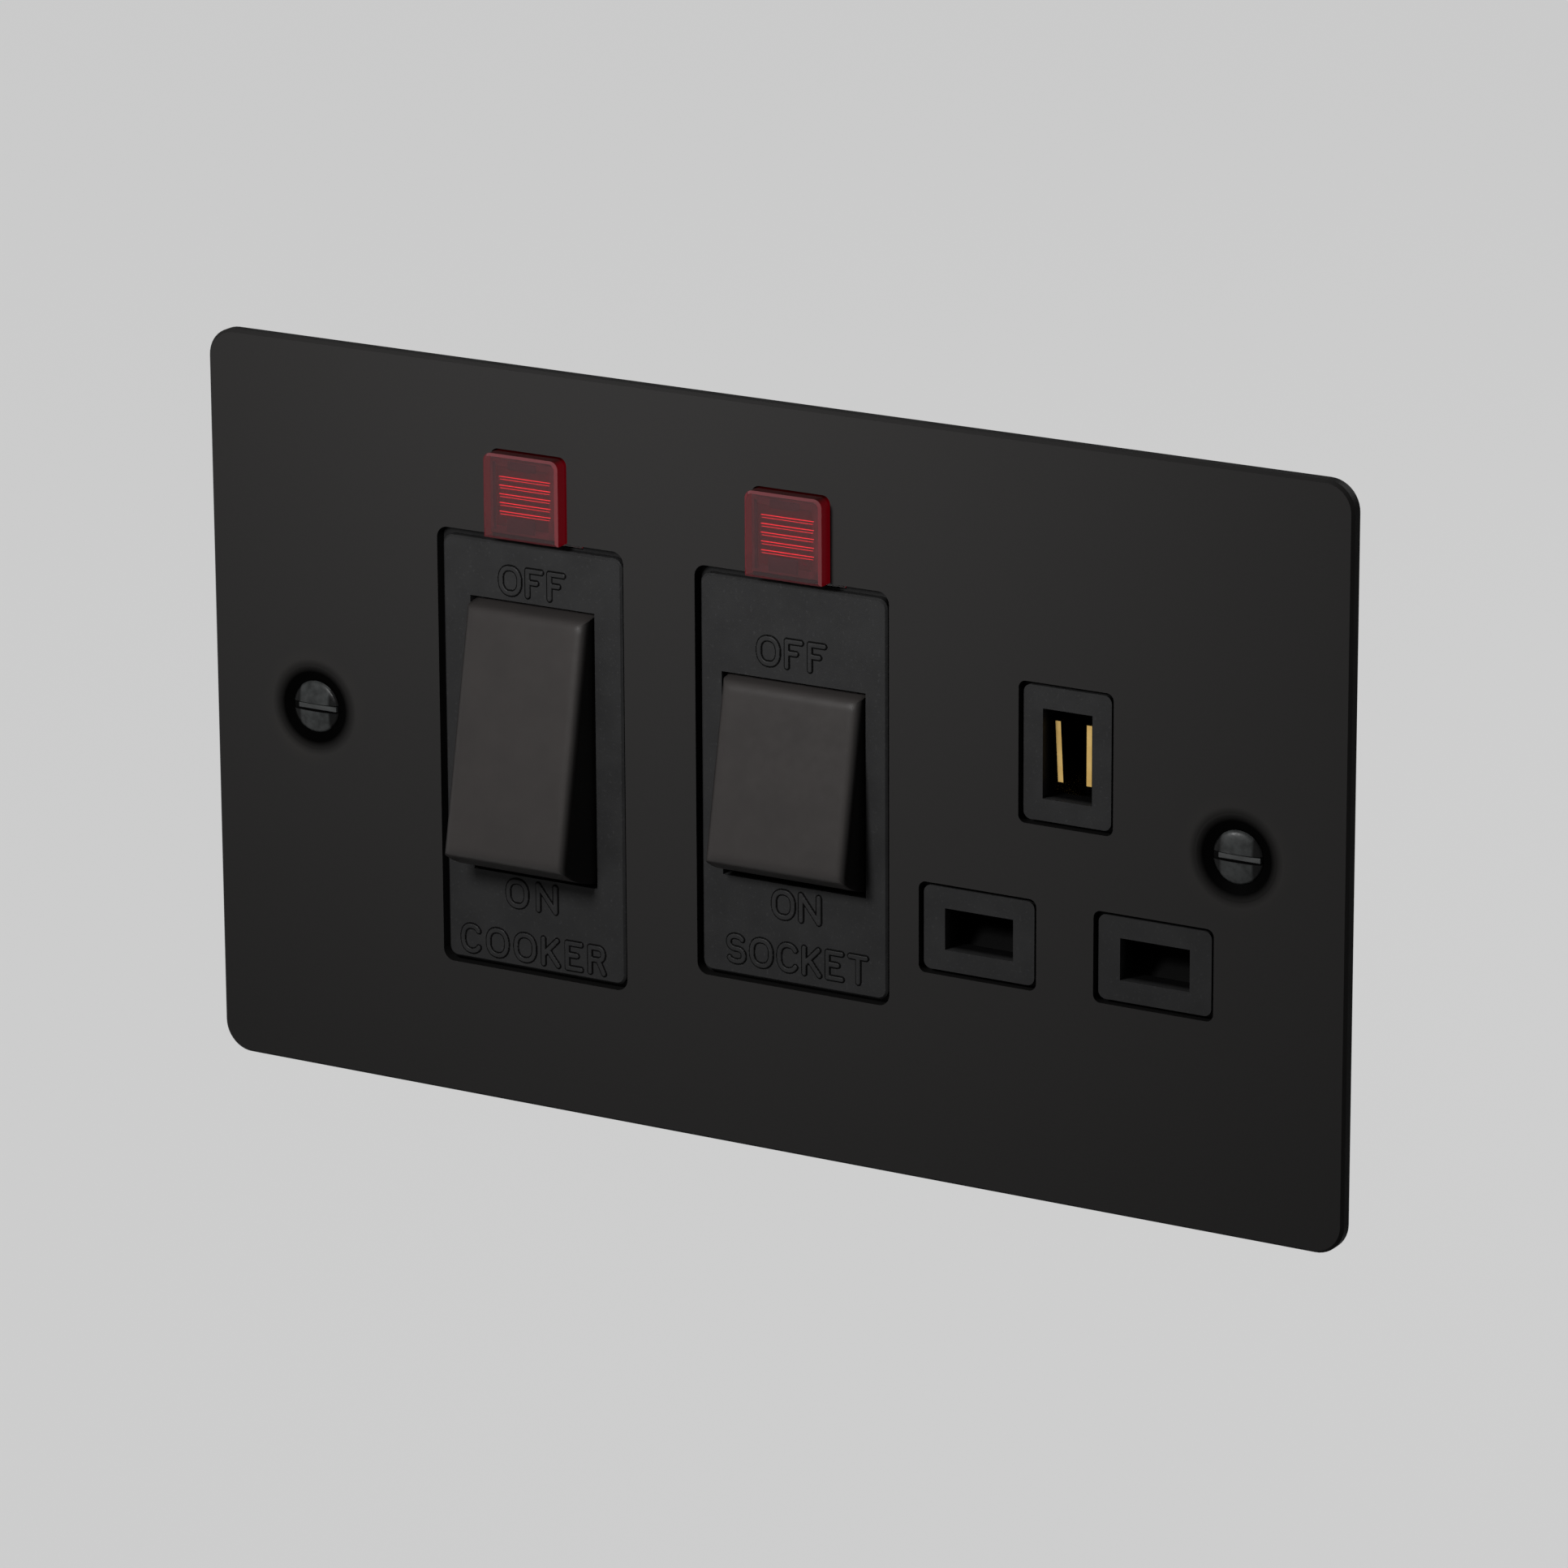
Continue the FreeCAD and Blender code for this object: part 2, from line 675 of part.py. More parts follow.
def front_common(front, x, panel, opening, screws, lens_z):
    """Flange behind the plate, panel in the cut-out, rocker well with bearings, lens seat and lamp bar."""
    open_half, open_tall = opening
    front.add("Y", panel_y, flange_back * 0.25, rrect(*panel, S.panel_corner))
    front.chamfer(S.panel_edge, lambda e: level(e, panel_y))
    out = S.well_wall
    front.add("Y", flange_back * 0.5, S.well_back,
              rect(x - open_half - out, x + open_half + out, -open_tall - out, open_tall + out))
    front.cut("Y", panel_y - 1, S.well_back, rect(x - open_half, x + open_half, -open_tall, open_tall))
    bear = S.pin_long + FREE
    front.cut("X", x - open_half - bear, x + open_half + bear,
              circle(S.pivot_y, S.pin_rad * 0, S.pin_rad + S.run_gap))
    low = lens_z + SNUG
    high = lens_z + S.lens_tall
    half = S.lens_wide / 2
    play = S.lens_gap
    front.cut("Y", -S.lens_lip_thick, S.lens_lip_thick,
              rect(x - half - S.lens_lip - play, x + half + S.lens_lip + play,
                   low - S.lens_lip * 0.6 - play, high + S.lens_lip * 0.85 + play))
    front.cut("Y", -S.lens_lip_thick, flange_back,
              rect(x - half + S.lens_wall * 0.5 - play, x + half - S.lens_wall * 0.5 + play,
                   low + S.lens_wall * 0.5 - play, high - S.lens_wall * 0.5 + play))
    bar_front = lamp_bar_y()
    bar_z = (low + high) / 2
    post_in = half + S.post_gap
    front.add("Y", flange_back * 0.5, bar_front + S.bar_thick,
              rect(x - post_in - S.bar_thick, x - post_in, bar_z - S.bar_thick / 2, bar_z + S.bar_thick / 2),
              rect(x + post_in, x + post_in + S.bar_thick, bar_z - S.bar_thick / 2, bar_z + S.bar_thick / 2))
    front.add("Y", bar_front, bar_front + S.bar_thick,
              rect(x - post_in - S.bar_thick, x + post_in + S.bar_thick,
                   bar_z - S.bar_thick / 2, bar_z + S.bar_thick / 2))
    front.cut("Y", S.lens_gap * 0, flange_back,
              *[square(sx, sz, S.standoff_rad + SLIM) for sx, sz in screws])


# Cooker switch front
split_left = S.split_x - S.split_gap
split_right = S.split_x + S.split_gap
cook_front = Piece("cooker_front")
cook_front.add("Y", S.lens_gap * 0, flange_back,
               rect(S.front_left, split_left, S.front_down, S.front_up))
front_common(
    cook_front, S.cook_x,
    (cook_cut[0] + S.panel_gap, cook_cut[1] - S.panel_gap,
     S.panel_gap - S.cook_cut_down, S.cook_cut_up - S.panel_top_gap),
    (S.cook_open_wide / 2, S.cook_open_tall / 2), cook_screws, S.cook_cut_up,
)

# Socket front: the switch panel and the three bosses that fill the outlet holes
sock_front = Piece("socket_front")
sock_front.add("Y", S.lens_gap * 0, flange_back, poly(
    (split_right, S.front_down),
    (S.front_right, S.front_down),
    (S.front_right, -S.lug_half),
    (S.lug_x, -S.lug_half),
    (S.lug_x, S.lug_half),
    (S.front_right, S.lug_half),
    (S.front_right, S.front_up),
    (split_right, S.front_up),
))
front_common(
    sock_front, S.sock_x,
    (sock_cut[0] + S.panel_gap, sock_cut[1] - S.panel_gap,
     S.panel_gap - S.sock_cut_half, S.sock_cut_half - S.panel_top_gap),
    (S.sock_open_wide / 2, S.sock_open_tall / 2), sock_screws, S.sock_cut_half,
)
in_e = half_e - S.boss_gap
in_b = half_b - S.boss_gap
tall_e = S.earth_tall / 2 - S.boss_gap
tall_b = S.boss_tall / 2 - S.boss_gap
sock_front.add(
    "Y", panel_y, flange_back * 0.5,
    rrect(S.outlet_x - in_e, S.outlet_x + in_e, S.earth_z - tall_e, S.earth_z + tall_e, S.boss_corner),
    rrect(neutral_x - in_b, neutral_x + in_b, S.pin_z - tall_b, S.pin_z + tall_b, S.boss_corner),
    rrect(line_x - in_b, line_x + in_b, S.pin_z - tall_b, S.pin_z + tall_b, S.boss_corner),
)
way_e = S.earth_way_wide / 2
way_p = S.way_wide / 2
sock_front.cut(
    "Y", panel_y - 1, flange_back,
    rect(S.outlet_x - way_e, S.outlet_x + way_e,
         S.earth_z - S.earth_way_tall / 2, S.earth_z + S.earth_way_tall / 2),
    rect(neutral_x - way_p, neutral_x + way_p, S.pin_z - S.way_tall / 2, S.pin_z + S.way_tall / 2),
    rect(line_x - way_p, line_x + way_p, S.pin_z - S.way_tall / 2, S.pin_z + S.way_tall / 2),
)

# Shutter sizes, which the guides on the socket front and the ribs in the base follow
flap_half = way_p + 0.35
flap_low = S.pin_z - S.way_tall / 2 - S.shutter_lap
flap_high = S.pin_z + S.way_tall / 2 + S.shutter_lap
bar_low = flap_low - S.shutter_bar
bar_back = S.shutter_front + S.shutter_bar_deep
guide_in = S.pin_pitch / 2 + flap_half + S.guide_gap
sock_front.add(
    "Y", flange_back * 0.5, bar_back - FREE,
    rect(S.outlet_x - guide_in - GUIDE, S.outlet_x - guide_in, bar_low - S.shutter_travel, flap_high),
    rect(S.outlet_x + guide_in, S.outlet_x + guide_in + GUIDE, bar_low - S.shutter_travel, flap_high),
)


def block_rect(x, sign, grow=0):
    """Outline of a terminal block at the top or bottom edge of the base."""
    half = S.block_wide / 2 + grow
    if sign > 0:
        return (x - half, x + half, block_in - grow, S.block_out + grow)
    return (x - half, x + half, -S.block_out - grow, -block_in + grow)


def clamp_place(x, sign):
    """Centre of a block's clamp screw."""
    out = S.block_out - S.clamp_in
    return (x, out) if sign > 0 else (x, -out)


def base_common(base, outline, inner, screws, blocks, beyond, lens_x):
    """Moulded base: floor behind the straps, deep towers behind the terminal blocks, screw posts."""
    base.add("Y", flange_back, floor_back, poly(*outline))
    edge_z = num(S.base_half) - SLIM
    base.fillet(S.base_corner, lambda e: upright(e) and abs(e.Vertexes[0].Point.z) > edge_z)
    for x, sign in blocks:
        grow = S.block_fit + S.base_wall
        u0, u1, v0, v1 = block_rect(x, sign, grow)
        if sign > 0:
            v1 = S.base_half
        else:
            v0 = -S.base_half
        base.add("Y", floor_back - S.floor_thick, S.tower_back, rect(u0, u1, v0, v1))
    base.cut("Y", flange_back, S.floor_front, poly(*inner))
    post_front = S.standoff_long + FREE
    base.add("Y", post_front, S.floor_front + PAST, *[square(x, z, S.post_half) for x, z in screws])
    base.cut("Y", flange_back - PAST, floor_back, beyond)
    base.cut("Y", flange_back, floor_back,
             *[screw_hole(x, z, S.screw_rad + S.screw_play) for x, z in screws])
    base.cut("Y", flange_back, post_front,
             *[square(x, z, S.standoff_rad + 0.15) for x, z in screws])
    for x, sign in blocks:
        base.cut("Y", S.floor_front - FREE, block_back + SNUG,
                 rect(*block_rect(x, sign, S.block_fit)))
        way = square(x, S.bore_y, S.cable_half)
        if sign > 0:
            base.cut("Z", S.block_out, S.base_half + 1, way)
        else:
            base.cut("Z", -S.base_half - 1, -S.block_out, way)
    half = S.lens_wide / 2 + S.post_gap + S.bar_thick + FREE
    base.cut("Y", flange_back, lamp_bar_y() + S.bar_thick + FREE,
             rect(lens_x - half, lens_x + half, S.base_half - S.base_wall - PAST, S.base_half + 1))
    places = [clamp_place(x, sign) for x, sign in blocks]
    base.cut("Y", block_back - SLIM, S.tower_back, *[square(u, v, S.clamp_rad + PAST) for u, v in places])


# Cooker switch base
cook_blocks = [
    (S.live_block_x, -1), (S.live_block_x, 1), (S.neutral_block_x, -1), (S.neutral_block_x, 1),
]
wall = S.base_wall
cb_left = S.front_left + S.base_inset
cb_right = split_left
cook_base = Piece("cooker_base")
base_common(
    cook_base,
    [(cb_left, -S.base_half), (cb_right, -S.base_half), (cb_right, S.base_half), (cb_left, S.base_half)],
    [(cb_left + wall, wall - S.base_half), (cb_right - wall, wall - S.base_half),
     (cb_right - wall, S.base_half - wall), (cb_left + wall, S.base_half - wall)],
    cook_screws, cook_blocks,
    rect(cb_right, cb_right + S.post_half * 2, -S.base_half, S.base_half), S.cook_x,
)
pole_in = S.pole_step - S.arm_wide / 2
rib_half = pole_in - GUIDE
cook_base.add("Y", S.link_y, S.floor_front + PAST,
              rect(S.cook_x - rib_half, S.cook_x + rib_half, -S.arm_half - 3, S.arm_half + 3))
link_lo = S.live_link_z - S.link_wide / 2 - ROOM
link_hi = S.neutral_link_z + S.link_wide / 2 + ROOM
link_back = S.link_y + S.link_thick
cook_base.cut("Y", flange_back, link_back + ROOM,
              rect(cb_right - wall - PAST, cb_right + 1, link_lo, link_hi))

# Socket base
sb_left = split_right
sb_right = S.front_right - FREE
sock_base = Piece("socket_base")
base_common(
    sock_base,
    [(sb_left, -S.base_half), (sb_right, -S.base_half), (sb_right, -S.lug_half),
     (S.lug_x, -S.lug_half), (S.lug_x, S.lug_half), (sb_right, S.lug_half),
     (sb_right, S.base_half), (sb_left, S.base_half)],
    [(sb_left + wall, wall - S.base_half), (sb_right - wall, wall - S.base_half),
     (sb_right - wall, -S.lug_half - wall), (S.lug_x - wall, -S.lug_half - wall),
     (S.lug_x - wall, S.lug_half + wall), (sb_right - wall, S.lug_half + wall),
     (sb_right - wall, S.base_half - wall), (sb_left + wall, S.base_half - wall)],
    sock_screws, [(S.outlet_x, 1)],
    rect(sb_left - S.post_half * 2, sb_left, -S.base_half, S.base_half), S.sock_x,
)
sock_base.add("Y", S.link_y, S.floor_front + PAST,
              rect(S.sock_x - rib_half, S.sock_x + rib_half, -S.arm_half - 3, S.arm_half + 1))
sock_base.cut("Y", flange_back, link_back + ROOM, rect(sb_left - 1, sb_left + wall + PAST, link_lo, link_hi))
strap_half = S.blade_gap / 2 + S.blade_thick
earth_low = S.earth_z - S.blade_tall / 2
earth_back = S.blade_back + S.earth_strap_thick
sock_base.add("Y", S.floor_front, earth_back + S.floor_thick,
              rect(S.outlet_x - strap_half - 2.2, S.outlet_x + strap_half + 2.2, earth_low - 2.2, block_in))
sock_base.cut("Y", S.floor_front - FREE, earth_back,
              rect(S.outlet_x - strap_half - ROOM, S.outlet_x + strap_half + ROOM,
                   earth_low - S.block_fit, block_in + FREE))
foot_half = S.block_wide / 2 + S.block_fit
sock_base.cut("Y", S.floor_front - FREE, earth_back,
              rect(S.outlet_x - foot_half, S.outlet_x + foot_half,
                   block_in - S.earth_foot - S.block_fit, block_in + 1.2))
bore_half = S.bore_rad + SUNK
sock_base.cut("Y", earth_back - SLIM, S.bore_y + bore_half,
              rect(S.outlet_x - bore_half, S.outlet_x + bore_half, block_in - GUIDE, block_in))
rest_in = S.shutter_coil_rad + 1.4
sock_base.add(
    "Y", bar_back + SLIM, S.floor_front + PAST,
    rect(S.outlet_x - rest_in - REST, S.outlet_x - rest_in, bar_low - S.shutter_travel, flap_low - 0.6),
    rect(S.outlet_x + rest_in, S.outlet_x + rest_in + REST, bar_low - S.shutter_travel, flap_low - 0.6),
)
peg_y = S.shutter_front + S.shutter_bar_deep / 2 + PAST
sock_base.add("Z", PAST - S.base_half, wall - S.base_half + S.shutter_peg_long,
              square(S.outlet_x, peg_y, S.shutter_peg))


def strap(label, pole_x):
    """Bottom feed strap with the saddle that a see-saw arm rocks in, and the stop for its off end."""
    piece = Piece(label)
    half = S.strap_wide / 2
    stop = S.arm_y + S.stop_far * tangent(S.arm_tilt) + S.arm_rear / cosine(S.arm_tilt) + S.contact_gap
    piece.add("X", pole_x - half, pole_x + half,
              rect(S.arm_y + S.saddle_front, S.strap_front + ROOM, -S.saddle_half, S.saddle_half),
              rect(stop, S.strap_front + ROOM, -S.stop_far, -S.stop_near))
    return piece, half


def seat_arm(piece, pole_x, half):
    """Cuts the saddle's groove, which the arm's hub turns in."""
    piece.cut("X", pole_x - half - PAST, pole_x + half + PAST,
              circle(S.arm_y, S.hub_rad * 0, S.hub_rad + S.run_gap))


def terminal_block(piece, x, sign):
    """Pads the block, bores it for the cable and drills it for its clamp screw."""
    piece.add("Y", S.strap_front, block_back, rect(*block_rect(x, sign)))
    ends = (block_in - PAST, S.block_out + PAST) if sign > 0 else (-S.block_out - PAST, PAST - block_in)
    piece.cut("Z", *ends, circle(x, S.bore_y, S.bore_rad))
    piece.cut("Y", S.bore_y, block_back + PAST, screw_hole(*clamp_place(x, sign), S.clamp_rad + SNUG))


def cooker_feed(label, pole_x, block_x):
    """Supply terminal of the cooker switch: saddle, stop, strap and cable block in one piece."""
    piece, half = strap(label, pole_x)
    lo, hi = (block_x, pole_x + half) if num(block_x) < num(pole_x) else (pole_x - half, block_x)
    piece.add("Y", S.strap_front, strap_back,
              rect(pole_x - half, pole_x + half, -block_in - SUNK, S.saddle_half))
    piece.add("Y", S.strap_front, strap_back, rect(lo, hi, -block_in - SUNK, S.strap_wide - block_in))
    seat_arm(piece, pole_x, half)
    terminal_block(piece, block_x, -1)
    return piece


cos_arm = cosine(S.arm_tilt)
sin_arm = sine(S.arm_tilt)
meet_y = (S.arm_y + (S.arm_rear + S.contact_high) * cos_arm + (S.contact_z + S.contact_tip) * sin_arm
          + S.contact_gap)


def fixed_contact(piece, pole_x):
    """Contact pad on a load strap, where the closed arm's crowned contact lands."""
    piece.add("Y", meet_y, S.strap_front + SUNK, square(pole_x, S.contact_z + 0.6, S.contact_rad + SUNK))


def cooker_load(label, pole_x, block_x):
    """Load terminal of the cooker switch: contact pad, strap and cable block in one piece."""
    piece = Piece(label)
    half = S.strap_wide / 2
    lo, hi = (block_x, pole_x + half) if num(block_x) < num(pole_x) else (pole_x - half, block_x)
    piece.add("Y", S.strap_front, strap_back,
              rect(pole_x - half, pole_x + half, S.contact_z - 2.6, block_in + SUNK))
    piece.add("Y", S.strap_front, strap_back, rect(lo, hi, block_in - S.strap_wide, block_in + SUNK))
    fixed_contact(piece, pole_x)
    terminal_block(piece, block_x, 1)
    return piece


live_pole = S.cook_x - S.pole_step
neutral_pole = S.cook_x + S.pole_step
cooker_feed("cooker_feed_live", live_pole, S.live_block_x)
cooker_feed("cooker_feed_neutral", neutral_pole, S.neutral_block_x)
cooker_load("cooker_load_live", live_pole, S.live_block_x)
cooker_load("cooker_load_neutral", neutral_pole, S.neutral_block_x)


def socket_feed(label, pole_x, block_x, link_z):
    """Supply of the socket switch: saddle and strap with the link that reaches the cooker's block."""
    piece, half = strap(label, pole_x)
    reach = S.link_wide / 2
    piece.add("Y", S.strap_front, strap_back,
              rect(pole_x - half, pole_x + half, link_z - reach, S.saddle_half))
    seat_arm(piece, pole_x, half)
    piece.add("Y", S.link_y, link_back,
              rect(block_x - half, pole_x + half, link_z - reach, link_z + reach))
    piece.add("Y", S.link_y, S.strap_front,
              rect(block_x - half, block_x - half + S.link_thick, link_z - reach, link_z + reach))
    piece.add("Y", S.link_y, S.strap_front + SUNK,
              rect(pole_x + half - S.link_thick, pole_x + half, link_z - reach, link_z + reach))
    return piece


sock_live = S.sock_x - S.pole_step
sock_neutral = S.sock_x + S.pole_step
socket_feed("socket_feed_live", sock_live, S.live_block_x, S.live_link_z)
socket_feed("socket_feed_neutral", sock_neutral, S.neutral_block_x, S.neutral_link_z)


def jaw(piece, x):
    """Two sprung leaves that grip a flat pin above and below, flared at the mouth."""
    half = S.jaw_wide / 2
    gap = S.jaw_gap / 2
    mouth = S.jaw_mouth / 2
    leaf = S.jaw_thick
    front = S.jaw_front
    neck = front + 1.6
    for sign in (1, -1):
        rows = [(front, mouth), (neck, gap), (S.strap_front + SUNK, gap + PAST)]
        line = [(y, S.pin_z + off * sign) for y, off in rows]
        back = [(y, S.pin_z + (off + leaf) * sign) for y, off in reversed(rows)]
        piece.add("X", x - half, x + half, poly(*line, *back))


def socket_load(label, pole_x, jaw_x, run_z):
    """Load side of the socket switch: contact pad, strap across the base and the pin's jaws."""
    piece = Piece(label)
    half = S.strap_wide / 2
    reach = S.link_wide / 2
    jaw_half = S.jaw_wide / 2
    top = run_z + reach
    piece.add("Y", S.strap_front, strap_back, poly(
        (pole_x - half, S.contact_z - 2.6),
        (pole_x + half, S.contact_z - 2.6),
        (pole_x + half, run_z - reach),
        (jaw_x - jaw_half, run_z - reach),
        (jaw_x - jaw_half, S.pin_z - 3.2),
        (jaw_x + jaw_half, S.pin_z - 3.2),
        (jaw_x + jaw_half, top),
        (pole_x - half, top),
    ))
    fixed_contact(piece, pole_x)
    jaw(piece, jaw_x)
    return piece


socket_load("socket_load_live", sock_live, line_x, S.live_run_z)
socket_load("socket_load_neutral", sock_neutral, neutral_x, S.contact_z + FREE)

# Earth contact: two blades that grip the earth pin, their strap and the earth cable block
earth = Piece("earth_contact")
lean = S.blade_tall / 2 * tangent(S.blade_lean)
zt = S.earth_z + S.blade_tall / 2
zb = earth_low
xl = S.outlet_x - S.blade_gap / 2
xr = S.outlet_x + S.blade_gap / 2
earth.add("Y", S.blade_front, S.blade_back + FREE,
          poly((xl - lean, zt), (xl - lean - S.blade_thick, zt),
               (xl + lean - S.blade_thick, zb), (xl + lean, zb)),
          rect(xr, xr + S.blade_thick, zb, zt))
earth.add("Y", S.blade_back, earth_back,
          rect(S.outlet_x - strap_half, S.outlet_x + strap_half, zb, block_in + SUNK))
foot_low = block_in - S.earth_foot
earth.add("Y", S.blade_back, earth_back,
          rect(S.outlet_x - S.block_wide / 2, S.outlet_x + S.block_wide / 2, foot_low, block_in + SUNK))
terminal_block(earth, S.outlet_x, 1)

# Shutter: two sloped flaps behind the pin ways on one bar, lifted by the spring under it
shutter = Piece("shutter")
rise = S.shutter_rise
for x in (neutral_x, line_x):
    shutter.add("X", x - flap_half, x + flap_half, poly(
        (S.shutter_front, flap_low - ROOM),
        (S.shutter_front + rise, flap_high),
        (S.shutter_front + rise + S.shutter_thick, flap_high),
        (S.shutter_front + S.shutter_bar_deep, flap_low - ROOM),
    ))
shutter.add("Y", S.shutter_front, bar_back,
            rect(neutral_x - flap_half, line_x + flap_half, bar_low, flap_low))
shutter.add("Z", bar_low - S.shutter_peg_long, bar_low + PAST, square(S.outlet_x, peg_y, S.shutter_peg))


COIL_SIDES = 6


def coil(label, rad, wire, length, turns):
    """A spring of square wire with six straight sides a turn, standing on its origin along Z."""
    half = num(wire) / 2
    steps = round(num(turns)) * COIL_SIDES
    rise = (num(length) - num(wire)) / steps
    rings = []
    for i in range(steps + 1):
        angle = 2 * math.pi * i / COIL_SIDES
        rings.append([
            FreeCAD.Vector((num(rad) + out) * math.cos(angle), (num(rad) + out) * math.sin(angle),
                           rise * i + up)
            for out, up in ((-half, -half), (half, -half), (half, half), (-half, half))
        ])
    faces = [Part.Face(Part.makePolygon(ring + ring[:1])) for ring in (rings[0], rings[-1])]
    for ring, after in zip(rings, rings[1:]):
        for k in range(4):
            a, b, c, d = ring[k], ring[(k + 1) % 4], after[(k + 1) % 4], after[k]
            faces.append(Part.Face(Part.makePolygon([a, b, c, a])))
            faces.append(Part.Face(Part.makePolygon([a, c, d, a])))
    made = doc.addObject("Part::Feature", label)
    made.Label = label
    made.Shape = Part.Solid(Part.makeShell(faces))
    if made.Shape.Volume < 0:
        made.Shape = made.Shape.reversed()
    nodes.append(made)
    return made


# Shutter spring
spring_low = wall - S.base_half + S.shutter_wire / 2 + END_GAP
spring_long = bar_low - wall + S.base_half - 2 * END_GAP
made = coil("shutter_spring", S.shutter_coil_rad, S.shutter_wire, spring_long, S.shutter_turns)
put(made, S.outlet_x, peg_y, spring_low)


def rocker_piece(label, x, open_wide, open_tall, face):
    """Rocker: a slice of a drum about its pivot with a flat face, hollow behind, with two square tubes."""
    piece = Piece(label)
    half = open_wide / 2 - S.rocker_side
    rad = open_tall / 2 - S.rocker_end
    zero = S.pin_rad * 0
    piece.add("X", -half, half, circle(zero, zero, rad))
    piece.cut("X", -half - 1, half + 1, rect(-rad - 1, -face, -rad - 1, rad + 1))
    piece.cut("X", -half - 1, half + 1, rect(S.rocker_back, rad + 1, -rad - 1, rad + 1))
    piece.fillet(S.rocker_edge, lambda e: level(e, -face))
    inner = half - S.rocker_wall
    cave = rad - S.rocker_wall * 1.25
    piece.cut("Y", S.rocker_wall - face, S.rocker_back + PAST, rect(-inner, inner, -cave, cave))
    piece.add("Y", S.rocker_wall - face - ROOM, S.leg_back,
              square(-S.pole_step, zero, S.leg_half), square(S.pole_step, zero, S.leg_half))
    bore = S.plunger_half + S.run_gap
    piece.cut("Y", S.rocker_wall - face + ROOM, S.leg_back + PAST,
              square(-S.pole_step, zero, bore), square(S.pole_step, zero, bore))
    piece.add("X", half - ROOM, half + S.pin_long, circle(zero, zero, S.pin_rad))
    piece.add("X", -half - S.pin_long, 0.4 - half, circle(zero, zero, S.pin_rad))
    piece.place(x, S.pivot_y, zero, -S.tilt)
    return piece


rocker_piece("cooker_rocker", S.cook_x, S.cook_open_wide, S.cook_open_tall, S.cook_face)
rocker_piece("socket_rocker", S.sock_x, S.sock_open_wide, S.sock_open_tall, S.sock_face)


def plunger(label, x):
    """Square plunger whose nose is rounded across the arm that it wipes along."""
    piece = Piece(label)
    zero = S.pin_rad * 0
    half = S.plunger_half
    piece.add("X", -half, half, rect(S.plunger_rear, S.plunger_tip, -half, half))
    piece.fillet(S.plunger_nose, lambda e: level(e, S.plunger_tip) and across(e))
    piece.place(x, S.pivot_y, zero, -S.tilt)


def plunger_spring(label, x, face):
    """Spring between the bottom of a rocker's tube and the back of the plunger."""
    seat = S.rocker_wall - face + ROOM
    long = S.plunger_rear - seat - 2 * END_GAP
    made = coil(label, S.coil_rad, S.coil_wire, long, S.coil_turns)
    start = seat + END_GAP + S.coil_wire / 2
    put(made, x, S.pivot_y + start * cosine(S.tilt), -start * sine(S.tilt), -90 - S.tilt)


def arm(label, x):
    """See-saw contact arm with a half-round hub and a bevelled contact bar on its upper end."""
    blade = Piece(label)
    half = S.arm_wide / 2
    zero = S.pin_rad * 0
    blade.add("X", -half, half, circle(zero, zero, S.hub_rad))
    blade.add("X", -half, half, rect(-S.arm_front, S.arm_rear, -S.arm_half, S.arm_half))
    blade.cut("X", -half - 1, half + 1,
              rect(-S.hub_rad - 1, -S.arm_front, -S.hub_rad - 1, S.hub_rad + 1))
    top = S.arm_rear + S.contact_high
    step = top - S.contact_high * 0.5
    blade.add("X", -S.contact_rad, S.contact_rad, poly(
        (S.arm_rear - FREE, S.contact_z - S.contact_rad),
        (step, S.contact_z - S.contact_rad),
        (top, S.contact_z - S.contact_tip),
        (top, S.contact_z + S.contact_tip),
        (step, S.contact_z + S.contact_rad),
        (S.arm_rear - FREE, S.contact_z + S.contact_rad),
    ))
    blade.place(x, S.arm_y, zero, S.arm_tilt)


for side, x in (("live", live_pole), ("neutral", neutral_pole)):
    plunger(f"cooker_plunger_{side}", x)
    plunger_spring(f"cooker_spring_{side}", x, S.cook_face)
    arm(f"cooker_arm_{side}", x)
for side, x in (("live", sock_live), ("neutral", sock_neutral)):
    plunger(f"socket_plunger_{side}", x)
    plunger_spring(f"socket_spring_{side}", x, S.sock_face)
    arm(f"socket_arm_{side}", x)
doc.recompute()


